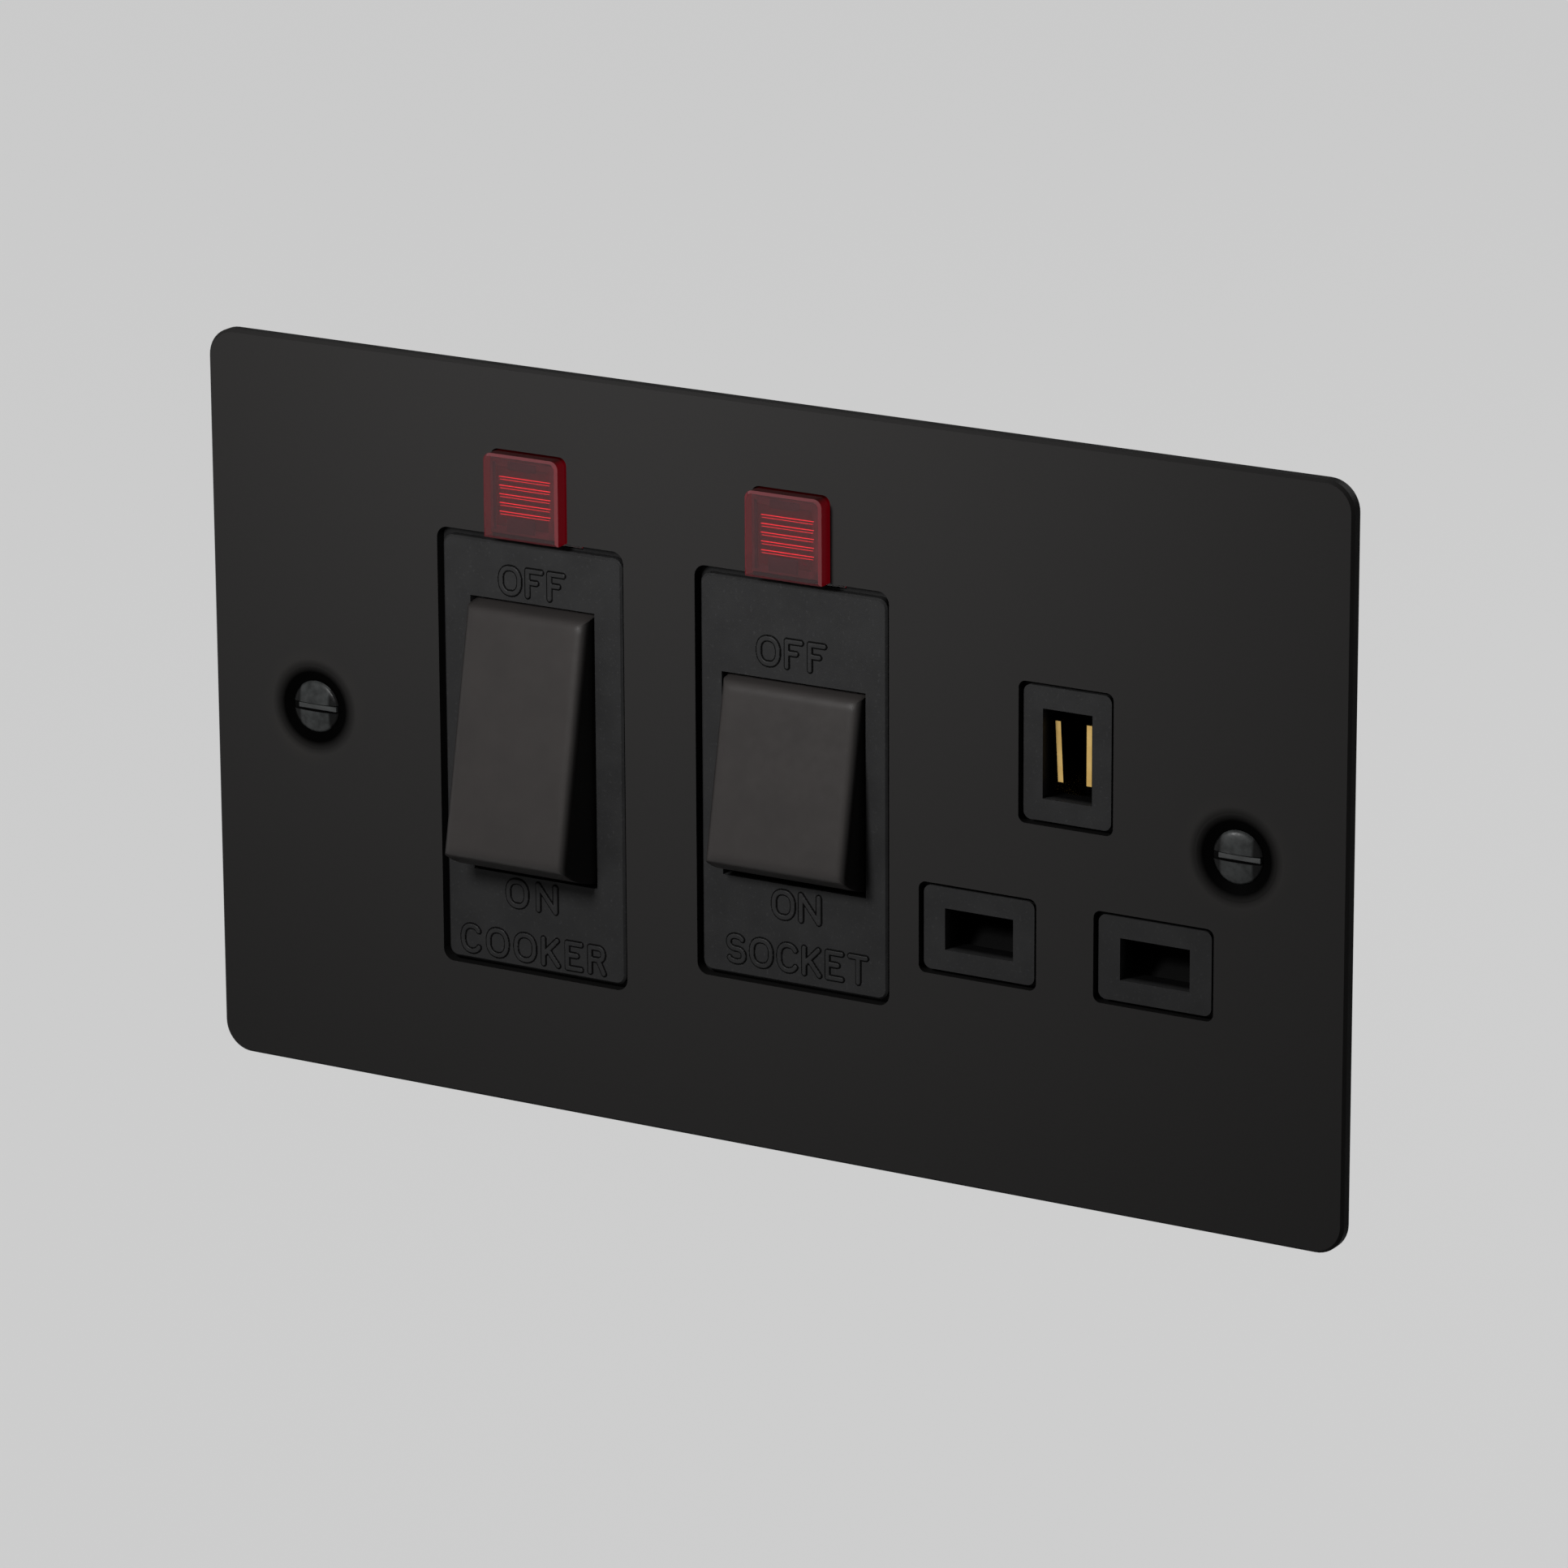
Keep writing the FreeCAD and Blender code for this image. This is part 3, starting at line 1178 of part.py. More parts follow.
def lamp_set(prefix, x, lens_z, live_at, neutral_at):
    """Neon lamp behind the lens, with the resistor behind its bar and leads to the two load straps."""
    mid = lens_z + SNUG / 2 + S.lens_tall / 2
    low = mid - S.lamp_long / 2
    high = low + S.lamp_long
    rest_y = lamp_bar_y() + S.bar_thick + S.resist_rad + SNUG
    rest_z = lens_z + S.resist_up
    zero = S.pin_rad * 0
    glass = Piece(prefix + "_glass", False)
    glass.turn("Revolution", "Y", S.lamp_y, [poly(
        (zero, low),
        (S.lamp_rad, low),
        (S.lamp_rad, high - S.lamp_rad * 0.6),
        (S.lamp_rad * 0.45, high),
        (zero, high),
    )], x)
    lead_z = low - S.lead_rad - SNUG
    bend = lamp_bar_y() + S.bar_thick / 2
    cross = rest_y + 2.4
    wire_path(f"{prefix}_lamp", [
        (x + 0.7, S.lamp_y, low + SUNK),
        (x + 0.7, S.lamp_y, lead_z),
        (x + 0.7, bend, lead_z),
        (live_at[0], bend, lead_z),
        (live_at[0], bend, live_at[1]),
        (live_at[0], S.strap_front, live_at[1]),
    ], S.lead_rad, glass.body)
    body = doc.addObject("Part::Cylinder", prefix + "_resistor_body")
    bind(body, "Radius", S.resist_rad)
    bind(body, "Height", S.resist_long)
    body.Placement.Rotation = FreeCAD.Rotation(FreeCAD.Vector(0, 1, 0), 90)
    bind(body, ".Placement.Base.x", x - S.resist_long / 2)
    bind(body, ".Placement.Base.y", rest_y)
    bind(body, ".Placement.Base.z", rest_z)
    doc.recompute()
    out = neutral_at[0]
    wire_path(f"{prefix}_resistor", [
        (x + S.resist_long / 2 - PAST, rest_y, rest_z),
        (out, rest_y, rest_z),
        (out, cross, rest_z),
        (out, cross, neutral_at[1]),
        (out, S.strap_front, neutral_at[1]),
    ], S.lead_rad, body)


lamp_set("cooker", S.cook_x, S.cook_cut_up,
         (S.live_block_x + S.lead_out, block_in + S.lead_low),
         (S.neutral_block_x - S.lead_in, block_in + S.lead_high))
lamp_set("socket", S.sock_x, S.sock_cut_half,
         (sock_live, S.live_run_z), (sock_neutral + S.pole_step, S.contact_z))

# Screws that hold the bases to the plate's standoffs, and the clamp screws of the terminal blocks


def prism(near, far, rad, count):
    """A flat-sided rod along Y."""
    turns = [math.radians(360 * k / count) for k in range(count)]
    corners = [FreeCAD.Vector(rad * math.cos(turn), near, rad * math.sin(turn)) for turn in turns]
    return Part.Face(Part.makePolygon(corners + corners[:1])).extrude(FreeCAD.Vector(0, far - near, 0))


def group(label, shape, places):
    made = doc.addObject("Part::Feature", label)
    made.Label = label
    copies = []
    for u, v in places:
        one = shape.copy()
        one.translate(FreeCAD.Vector(num(u), 0, num(v)))
        copies.append(one)
    made.Shape = Part.makeCompound(copies)
    nodes.append(made)


shank = prism(num(S.screw_near), num(floor_back), num(S.screw_rad), SCREW_SIDES)
head = prism(num(floor_back), num(floor_back + S.screw_head_long), num(S.screw_head_rad), 6)
group("base_screws", shank.fuse(head), all_screws)
clamp_near, clamp_far = num(S.bore_y + S.bore_rad) + SLIM, num(block_back) + SUNK
clamp_rad, clamp_slot = num(S.clamp_rad), num(S.clamp_slot)
clamp = prism(clamp_near, clamp_far, clamp_rad, SCREW_SIDES)
notch = Part.makeBox(
    clamp_rad * 2 + 1, clamp_slot, clamp_slot,
    FreeCAD.Vector(-clamp_rad - PAST, clamp_far - clamp_slot, -clamp_slot / 2),
)
group("terminal_screws", clamp.cut(notch),
      [clamp_place(x, sign) for x, sign in cook_blocks + [(S.outlet_x, 1)]])

doc.recompute()
for obj in doc.Objects:
    if "Invalid" in obj.State or "Error" in obj.State:
        raise RuntimeError(f"{obj.Label} failed: {obj.State}")
os.makedirs("parts", exist_ok=True)
for obj in nodes:
    shape = obj.Shape
    if shape.isNull() or not shape.isValid():
        raise RuntimeError(f"{obj.Label} has no valid shape")
for obj in nodes:
    obj.Shape.exportStep(f"parts/{obj.Label}.step")
    print(f"{obj.Label}: {len(obj.Shape.Solids)} solid, {obj.Shape.Volume:.1f} mm3")
print(len(nodes), "nodes")
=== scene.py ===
"""Looks, lettering, threads, camera and light for the cooker control unit."""

import json
import math

import bmesh
import bpy
import numpy as np
from mathutils import Matrix, Vector


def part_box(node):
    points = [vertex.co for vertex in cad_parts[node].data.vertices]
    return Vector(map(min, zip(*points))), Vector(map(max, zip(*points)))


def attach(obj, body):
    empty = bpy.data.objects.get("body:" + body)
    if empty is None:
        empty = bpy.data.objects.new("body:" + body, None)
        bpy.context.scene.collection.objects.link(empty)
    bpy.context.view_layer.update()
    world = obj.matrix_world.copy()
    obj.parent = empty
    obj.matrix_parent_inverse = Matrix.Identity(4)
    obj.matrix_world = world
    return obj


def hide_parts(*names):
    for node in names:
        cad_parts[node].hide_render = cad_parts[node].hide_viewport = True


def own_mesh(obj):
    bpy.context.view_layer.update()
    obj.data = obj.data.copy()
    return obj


MM = 0.001
FIX_PITCH = 120.6
DISH_EDGE = 4.9
DISH_SOFT = 1.2
# Half width of the lighter band down each screw head; beyond it the head carries painted shade
LIT_BAND_HALF = 1.95

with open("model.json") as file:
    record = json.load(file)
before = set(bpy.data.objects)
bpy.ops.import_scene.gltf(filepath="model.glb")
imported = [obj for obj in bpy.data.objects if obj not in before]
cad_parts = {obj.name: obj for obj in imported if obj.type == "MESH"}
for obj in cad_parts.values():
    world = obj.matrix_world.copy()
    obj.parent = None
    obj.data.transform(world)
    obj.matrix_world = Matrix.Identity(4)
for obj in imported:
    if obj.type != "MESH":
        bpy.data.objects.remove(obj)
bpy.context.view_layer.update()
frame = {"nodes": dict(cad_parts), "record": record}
nodes = frame["nodes"]
scene = bpy.context.scene


# Node helpers for the materials


class Paint:
    """A Principled material with object coordinates in millimetres."""

    def __init__(self, name, color, rough, metallic=0.0, specular=0.5):
        self.mat = bpy.data.materials.new(name)
        self.mat.use_nodes = True
        self.tree = self.mat.node_tree
        self.shader = self.tree.nodes["Principled BSDF"]
        self.set("Base Color", (*color, 1))
        self.set("Roughness", rough)
        self.set("Metallic", metallic)
        self.set("Specular IOR Level", specular)
        self.color = color
        self.rough = rough
        self.place = None
        self.normal = None

    def set(self, socket, value):
        self.shader.inputs[socket].default_value = value

    def node(self, kind, **values):
        made = self.tree.nodes.new("ShaderNode" + kind)
        for key, value in values.items():
            if key in made.inputs:
                made.inputs[key].default_value = value
            else:
                setattr(made, key, value)
        return made

    def link(self, out, into):
        self.tree.links.new(out, into)

    def mm(self, stretch=(1, 1, 1)):
        """Object coordinates in millimetres, drawn out along the axes by stretch."""
        if self.place is None:
            self.place = self.node("TexCoord")
        mapping = self.node("Mapping")
        mapping.inputs["Scale"].default_value = [1000 / part for part in stretch]
        self.link(self.place.outputs["Object"], mapping.inputs["Vector"])
        return mapping.outputs["Vector"]

    def noise(self, scale, detail=2.0, stretch=(1, 1, 1), rough=0.5):
        made = self.node("TexNoise", Scale=scale, Detail=detail, Roughness=rough)
        self.link(self.mm(stretch), made.inputs["Vector"])
        return made.outputs["Fac"]

    def ramp(self, value, low, high, out_low, out_high):
        made = self.node("MapRange")
        for name, number in (
            ("From Min", low), ("From Max", high), ("To Min", out_low), ("To Max", out_high),
        ):
            made.inputs[name].default_value = number
        self.link(value, made.inputs["Value"])
        return made.outputs["Result"]

    def tint(self, value, other, low=0.35, high=0.65):
        """Base colour runs from its own value to other with value."""
        mix = self.node("Mix", data_type="RGBA")
        spread = self.ramp(value, low, high, 0.0, 1.0)
        self.link(spread, mix.inputs[0])
        before = self.shader.inputs["Base Color"].links
        if before:
            self.link(before[0].from_socket, mix.inputs[6])
        else:
            mix.inputs[6].default_value = (*self.color, 1)
        mix.inputs[7].default_value = (*other, 1)
        self.link(mix.outputs[2], self.shader.inputs["Base Color"])
        return self

    def beside_fixing(self):
        """Signed distance in millimetres along X from the nearer fixing, and the split place."""
        split = self.node("SeparateXYZ")
        self.link(self.mm(), split.inputs[0])
        side = self.node("Math", operation="ABSOLUTE")
        self.link(split.outputs["X"], side.inputs[0])
        across = self.node("Math", operation="SUBTRACT")
        self.link(side.outputs[0], across.inputs[0])
        across.inputs[1].default_value = FIX_PITCH / 2
        return across.outputs[0], split

    def from_fixing(self):
        """Distance in millimetres from the nearer fixing screw's axis."""
        across, split = self.beside_fixing()
        flat = self.node("CombineXYZ")
        self.link(across, flat.inputs["X"])
        self.link(split.outputs["Z"], flat.inputs["Z"])
        away = self.node("VectorMath", operation="LENGTH")
        self.link(flat.outputs[0], away.inputs[0])
        return away.outputs["Value"]

    def depth(self):
        """Distance in millimetres behind the wall's surface."""
        split = self.node("SeparateXYZ")
        self.link(self.mm(), split.inputs[0])
        return split.outputs["Y"]

    def soften(self, rad_mm):
        """Rounds the shading over the edges."""
        self.normal = self.node("Bevel", samples=6, Radius=rad_mm * MM).outputs["Normal"]
        self.link(self.normal, self.shader.inputs["Normal"])

    def absolute(self, value):
        made = self.node("Math", operation="ABSOLUTE")
        self.link(value, made.inputs[0])
        return made.outputs[0]

    def facing(self, axis):
        """How much the surface faces along an axis of the object, as an absolute share."""
        where = self.node("TexCoord")
        split = self.node("SeparateXYZ")
        self.link(where.outputs["Normal"], split.inputs[0])
        return self.absolute(split.outputs[axis])

    def shade(self, value, low, high, at_low, at_high=1.0):
        """Base colour runs from one share of itself to another with value."""
        share = self.ramp(value, low, high, at_low, at_high)
        dim = self.node("Mix", data_type="RGBA", blend_type="MULTIPLY")
        dim.inputs[0].default_value = 1.0
        before = self.shader.inputs["Base Color"].links[0].from_socket
        self.link(before, dim.inputs[6])
        self.link(share, dim.inputs[7])
        self.link(dim.outputs[2], self.shader.inputs["Base Color"])
        return self

    def gloss(self, value, spread, low=0.3, high=0.7):
        """Roughness varies by spread on both sides of its own value."""
        result = self.ramp(value, low, high, self.rough - spread, self.rough + spread)
        self.link(result, self.shader.inputs["Roughness"])
        return self

    def bump(self, value, deep_mm, strength=1.0):
        made = self.node("Bump", Strength=strength, Distance=deep_mm * MM)
        self.link(value, made.inputs["Height"])
        if self.normal is not None:
            self.link(self.normal, made.inputs["Normal"])
        self.normal = made.outputs["Normal"]
        self.link(self.normal, self.shader.inputs["Normal"])
        return self


# Materials


def plate_paint():
    """Matt black paint, with painted shade in the two soft dishes round the fixing screws, a faint
    painted highlight ring just outside them, and painted shade on the walls of its cut-outs and
    edges.
    """
    paint = Paint("plate_black", (0.0235, 0.0228, 0.0225), 0.46, specular=0.01)
    paint.tint(paint.noise(0.06, 3.0), (0.0259, 0.0248, 0.0240))
    paint.gloss(paint.noise(0.35, 4.0, (3, 1, 1)), 0.04)
    paint.bump(paint.noise(5.0, 3.0, (2.2, 1, 1)), 0.012, 0.8)
    paint.bump(paint.noise(0.5, 2.0), 0.01, 0.2)
    away = paint.from_fixing()
    rim = paint.ramp(away, DISH_EDGE, DISH_EDGE + DISH_SOFT, DISH_SOFT, 0.0)
    fall = paint.node("Math", operation="MULTIPLY")
    paint.link(rim, fall.inputs[0])
    paint.link(rim, fall.inputs[1])
    fall_mm = paint.ramp(fall.outputs[0], 0.0, 1.0, 0.0, -0.13)
    paint.bump(fall_mm, 1.0, 1.0)
    # Painted highlight: a faint lighter ring just outside each dish, where its outer slope would
    # catch the light
    paint.tint(away, (0.0236, 0.0229, 0.0226), DISH_EDGE + DISH_SOFT, DISH_EDGE + 2 * DISH_SOFT)
    # Painted shade: the paint turns nearly black inside each dish
    paint.shade(away, DISH_EDGE - 0.7, DISH_EDGE + 0.9, 0.01)
    # Painted shade: faces that do not look along Y, the walls of the cut-outs and the plate's
    # edges, are darkened
    paint.shade(paint.facing("Y"), 0.2, 0.8, 0.25)
    return paint


def insert_paint():
    paint = Paint("insert_black", (0.0196, 0.0196, 0.0199), 0.48, specular=0.09)
    paint.tint(paint.noise(0.25, 2.0), (0.0165, 0.0165, 0.0168))
    paint.tint(paint.noise(2.6, 2.0), (0.0290, 0.0290, 0.0296), 0.60, 0.80)
    paint.gloss(paint.noise(1.2, 3.0), 0.06)
    paint.bump(paint.noise(2.8, 4.0, rough=0.6), 0.022, 0.9)
    # Painted shade: the paint darkens with depth behind the front face, in the gaps round the
    # fronts, the rocker wells and the pin ways
    paint.shade(paint.depth(), -0.6, 0.4, 1.0, 0.12)
    return paint


# Near-black painted shade for the slopes of the raised letters and the walls of the screw slots
def edge_shade_paint():
    paint = Paint("letter_edge", (0.0015, 0.0015, 0.0015), 0.7, specular=0.03)
    paint.gloss(paint.noise(2.0, 2.0), 0.05)
    return paint


def rocker_paint():
    paint = Paint("rocker_black", (0.0280, 0.0256, 0.0248), 0.34, specular=0.12)
    paint.tint(paint.noise(0.2, 3.0), (0.0312, 0.0284, 0.0274))
    # Painted shade: the rocker's sides, facing along X, are darkened
    paint.shade(paint.facing("X"), 0.45, 0.95, 1.0, 0.25)
    paint.soften(1.3)
    paint.gloss(paint.noise(0.9, 4.0), 0.04)
    paint.bump(paint.noise(2.6, 3.0), 0.004, 0.5)
    return paint


def base_paint():
    paint = Paint("base_black", (0.030, 0.030, 0.031), 0.52, specular=0.4)
    paint.tint(paint.noise(0.15, 4.0), (0.024, 0.024, 0.025))
    paint.gloss(paint.noise(0.8, 3.0), 0.08)
    paint.bump(paint.noise(2.2, 4.0, rough=0.6), 0.02, 0.8)
    return paint


def shutter_paint():
    # The shutter's near-black colour is painted shade for its place deep behind the pin ways
    paint = Paint("shutter_black", (0.0018, 0.0018, 0.0018), 0.50, specular=0.02)
    paint.gloss(paint.noise(1.1, 3.0), 0.06)
    paint.bump(paint.noise(3.0, 3.0), 0.006, 0.6)
    return paint


def brass_paint():
    paint = Paint("brass", (0.78, 0.53, 0.19), 0.26, metallic=1.0)
    paint.tint(paint.noise(0.5, 4.0), (0.66, 0.42, 0.13))
    paint.gloss(paint.noise(1.4, 4.0, (1, 6, 1)), 0.07)
    paint.bump(paint.noise(2.4, 3.0, (1, 8, 1)), 0.005, 0.6)
    return paint


def blade_paint():
    """Brass of the earth blades, bright on the edges towards the plug, with painted shade darkening
    their sides.
    """
    paint = Paint("brass_blades", (0.80, 0.54, 0.19), 0.30, metallic=1.0)
    paint.tint(paint.noise(0.5, 4.0), (0.70, 0.45, 0.14))
    # Painted shade: faces that do not look along Y, the blades' sides, are darkened
    paint.shade(paint.facing("Y"), 0.3, 0.9, 0.06)
    paint.bump(paint.noise(2.4, 3.0, (1, 8, 1)), 0.005, 0.6)
    return paint


def steel_paint(name, color, rough):
    paint = Paint(name, color, rough, metallic=1.0)
    paint.tint(paint.noise(0.8, 3.0), tuple(part * 0.8 for part in color))
    paint.gloss(paint.noise(2.0, 3.0), 0.06)
    paint.bump(paint.noise(5.0, 2.0), 0.003, 0.5)
    return paint


def screw_paint():
    paint = Paint("screw_black", (0.0175, 0.0185, 0.0185), 0.38, specular=0.13)
    paint.tint(paint.noise(1.1, 4.0), (0.034, 0.036, 0.036))
    paint.gloss(paint.noise(1.6, 4.0), 0.09)
    paint.bump(paint.noise(1.8, 3.0), 0.02, 0.7)
    # Painted shade: each head is dark to the left and right of a lighter band down its middle
    across, _ = paint.beside_fixing()
    paint.shade(paint.absolute(across), LIT_BAND_HALF - 0.15, LIT_BAND_HALF + 0.15, 1.0, 0.04)
    return paint


# Lighter grey painted light for the floors of the screw slots
def slot_light_paint():
    paint = Paint("screw_slot_light", (0.040, 0.0425, 0.0425), 0.45, metallic=0.2)
    paint.tint(paint.noise(2.2, 3.0, (3, 1, 1)), (0.024, 0.0255, 0.0255))
    return paint


def nylon_paint():
    paint = Paint("plunger_nylon", (0.72, 0.70, 0.63), 0.38)
    paint.set("Subsurface Weight", 0.15)
    paint.set("Subsurface Scale", 0.6 * MM)
    paint.tint(paint.noise(0.8, 3.0), (0.66, 0.63, 0.56))
    paint.bump(paint.noise(3.0, 3.0), 0.005, 0.5)
    return paint


def glass_paint():
    paint = Paint("lamp_glass", (0.93, 0.88, 0.86), 0.06)
    paint.set("Transmission Weight", 0.75)
    paint.set("IOR", 1.5)
    paint.tint(paint.noise(0.9, 2.0), (0.86, 0.80, 0.78))
    return paint


def resistor_paint():
    paint = Paint("resistor_body", (0.50, 0.33, 0.17), 0.36)
    paint.tint(paint.noise(1.5, 3.0), (0.42, 0.27, 0.13))
    paint.bump(paint.noise(1.2, 3.0), 0.02, 0.5)
    return paint


def lens_paint():
    paint = Paint("lens_red", (0.40, 0.10, 0.12), 0.05, specular=0.5)
    # Painted shade and light: the lens's sides take a dark red, those facing along X a faint red
    # glow, and only the face stays clear
    side = paint.facing("Y")
    paint.tint(side, (0.05, 0.0005, 0.001), 0.95, 0.60)
    paint.set("Emission Color", (1.0, 0.004, 0.03, 1))
    glow = paint.ramp(paint.facing("X"), 0.4, 0.9, 0.0, 0.07)
    paint.link(glow, paint.shader.inputs["Emission Strength"])
    clear = paint.ramp(side, 0.60, 0.95, 0.1, 0.96)
    paint.link(clear, paint.shader.inputs["Transmission Weight"])
    paint.set("IOR", 1.49)
    paint.gloss(paint.noise(0.8, 2.0), 0.02)
    paint.bump(paint.noise(1.4, 2.0), 0.002, 0.3)
    return paint


def rib_paint():
    paint = Paint("lens_rib_red", (0.85, 0.035, 0.06), 0.3)
    # Painted light: the ribs glow, standing for light passed through the lens onto them
    paint.set("Emission Color", (1.0, 0.03, 0.05, 1))
    paint.set("Emission Strength", 1.1)
    paint.gloss(paint.noise(1.0, 2.0), 0.05)
    return paint


def window_paint(name, color):
    paint = Paint(name, color, 0.5)
    paint.tint(paint.noise(0.5, 3.0), tuple(part * 0.8 for part in color))
    return paint


looks = {
    "plate_black": plate_paint(),
    "insert_black": insert_paint(),
    "rocker_black": rocker_paint(),
    "base_plastic": base_paint(),
    "shutter_plastic": shutter_paint(),
    "brass": brass_paint(),
    "spring_steel": steel_paint("spring_steel", (0.55, 0.55, 0.56), 0.28),
    "screw_steel": steel_paint("screw_steel", (0.62, 0.58, 0.47), 0.34),
    "screw_black": screw_paint(),
    "plunger_nylon": nylon_paint(),
    "lamp_glass": glass_paint(),
    "resistor_body": resistor_paint(),
    "lens_red": lens_paint(),
}
rib_look = rib_paint()
red_look = window_paint("lens_inner_red", (0.108, 0.036, 0.039))
lamp_shadow_look = window_paint("lens_lamp_shadow", (0.030, 0.024, 0.026))
edge_shade_look = edge_shade_paint()
slot_light_look = slot_light_paint()
blade_look = blade_paint()

for row in frame["record"]["subparts"]:
    obj = nodes[row["node"]]
    obj.data.materials.clear()
    own = blade_look if row["node"] == "earth_contact" else looks[row["material_slot"]]
    obj.data.materials.append(own.mat)


# Mesh helpers


def piece(name, mesh, look, body):
    """Adds a mesh to the scene as a named piece that moves with a body."""
    obj = bpy.data.objects.new(name, mesh)
    scene.collection.objects.link(obj)
    mesh.materials.append(look.mat)
    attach(obj, body)
    return obj


# Raised words

LETTER_HIGH = 0.16
LETTER_FOOT = 0.012
LETTER_SUNK = 0.12
LETTER_CELL = 0.06
TALL = 3.6
STROKE = 0.62
WORD_STROKE = 0.60

# Parts of a stroke's cross-section, as shares of half its width
FLAT_SHARE = 0.62
SLOPE_SHARE = 0.5
REACH_SHARE = 1.3
# Past this share of half the width, a stroke's slope carries painted shade
SHADED_EDGE_SHARE = 0.84

OVAL_POWER = 2 / 2.35


def oval(wide, tall=1.0, start=0.0, end=360.0, steps=40, x=0.0, y=0.0):
    """Points round an upright oval whose sides are flatter than an ellipse's."""
    points = []
    for i in range(steps + 1):
        a = math.radians(start + (end - start) * i / steps)
        c, s = math.cos(a), math.sin(a)
        points.append((
            x + wide / 2 + wide / 2 * math.copysign(abs(c) ** OVAL_POWER, c),
            y + tall / 2 + tall / 2 * math.copysign(abs(s) ** OVAL_POWER, s),
        ))
    return points


def letter(sign):
    """Centre lines of a letter that is 1 tall, and its width."""
    if sign == "O":
        return [oval(0.84)], 0.84
    if sign == "C":
        return [oval(0.78, start=38, end=322)], 0.74
    if sign == "F":
        return [[(0, 0), (0, 1), (0.62, 1)], [(0, 0.54), (0.40, 0.54)]], 0.62
    if sign == "E":
        return [[(0.62, 0), (0, 0), (0, 1), (0.62, 1)], [(0, 0.53), (0.44, 0.53)]], 0.62
    if sign == "N":
        return [[(0, 0), (0, 1), (0.78, 0), (0.78, 1)]], 0.78
    if sign == "K":
        return [[(0, 0), (0, 1)], [(0.62, 1), (0, 0.36)], [(0.20, 0.57), (0.66, 0)]], 0.66
    if sign == "R":
        bowl = oval(0.46, 0.48, 90, -90, 20, 0.13, 0.52)
        return [[(0, 0), (0, 1), (0.36, 1)] + bowl + [(0, 0.52)], [(0.36, 0.52), (0.62, 0)]], 0.62
    if sign == "T":
        return [[(0, 1), (0.70, 1)], [(0.35, 1), (0.35, 0)]], 0.70
    if sign == "S":
        upper = oval(0.62, 0.50, 30, 270, 24, 0.0, 0.50)
        lower = oval(0.66, 0.50, 90, -150, 24, -0.01, 0.0)
        return [upper + lower], 0.65
    raise ValueError(sign)


def word(name, text, x, z, wide, tall, stroke):
    """Raised letters on the insert's face, centred on x, z, as one closed relief whose slopes carry
    painted shade.
    """
    lines, pen = [], 0.0
    run = tall - stroke
    gap_total = len(text) - 1
    widths = [letter(sign)[1] * run for sign in text]
    gap = (wide - stroke - sum(widths)) / gap_total
    for sign, width in zip(text, widths):
        for line in letter(sign)[0]:
            lines.append([(pen + u * run, v * run) for u, v in line])
        pen += width + gap
    left = x - (wide - stroke) / 2
    low = z - run / 2
    step = LETTER_CELL
    margin = stroke
    nu = int((wide + margin) / step) + 1
    nv = int((tall + margin) / step) + 1
    us = np.arange(nu) * step - (stroke + margin) / 2
    vs = np.arange(nv) * step - (stroke + margin) / 2
    grid_u, grid_v = np.meshgrid(us, vs, indexing="ij")
    dist = np.full(grid_u.shape, 1e9)
    for line in lines:
        for (u0, v0), (u1, v1) in zip(line, line[1:]):
            du, dv = u1 - u0, v1 - v0
            length = du * du + dv * dv + 1e-12
            t = np.clip(((grid_u - u0) * du + (grid_v - v0) * dv) / length, 0, 1)
            dist = np.minimum(dist, np.hypot(grid_u - u0 - t * du, grid_v - v0 - t * dv))
    half = stroke / 2
    edge = np.clip((dist - half * FLAT_SHARE) / (half * SLOPE_SHARE), 0, 1)
    high = LETTER_HIGH * (1 - edge * edge * (3 - 2 * edge)) + LETTER_FOOT * edge
    keep = dist < half * REACH_SHARE + step
    cells = keep[:-1, :-1] & keep[1:, :-1] & keep[:-1, 1:] & keep[1:, 1:]
    face_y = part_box("cooker_front")[0].y / MM
    mesh = bpy.data.meshes.new(name)
    bm = bmesh.new()
    top, bottom = {}, {}

    def corner(i, j):
        if (i, j) not in top:
            px, pz = (left + us[i]) * MM, (low + vs[j]) * MM
            top[i, j] = bm.verts.new((px, (face_y - high[i, j]) * MM, pz))
            bottom[i, j] = bm.verts.new((px, (face_y + LETTER_SUNK) * MM, pz))
        return i, j

    for i, j in zip(*np.nonzero(cells)):
        ring = [corner(i, j), corner(i + 1, j), corner(i + 1, j + 1), corner(i, j + 1)]
        cap = bm.faces.new([top[c] for c in ring])
        # Cells on the slopes take the painted shade
        cap.material_index = int(np.mean([dist[c] for c in ring]) > half * SHADED_EDGE_SHARE)
        bm.faces.new([bottom[c] for c in reversed(ring)])
        for a, b, di, dj in (
            (ring[0], ring[1], 0, -1), (ring[1], ring[2], 1, 0),
            (ring[2], ring[3], 0, 1), (ring[3], ring[0], -1, 0),
        ):
            ni, nj = i + di, j + dj
            inside = 0 <= ni < cells.shape[0] and 0 <= nj < cells.shape[1] and cells[ni, nj]
            if not inside:
                bm.faces.new([top[b], top[a], bottom[a], bottom[b]])
    for face in bm.faces:
        face.smooth = True
    bm.to_mesh(mesh)
    bm.free()
    piece(name, mesh, looks["insert_black"], "unit")
    mesh.materials.append(edge_shade_look.mat)


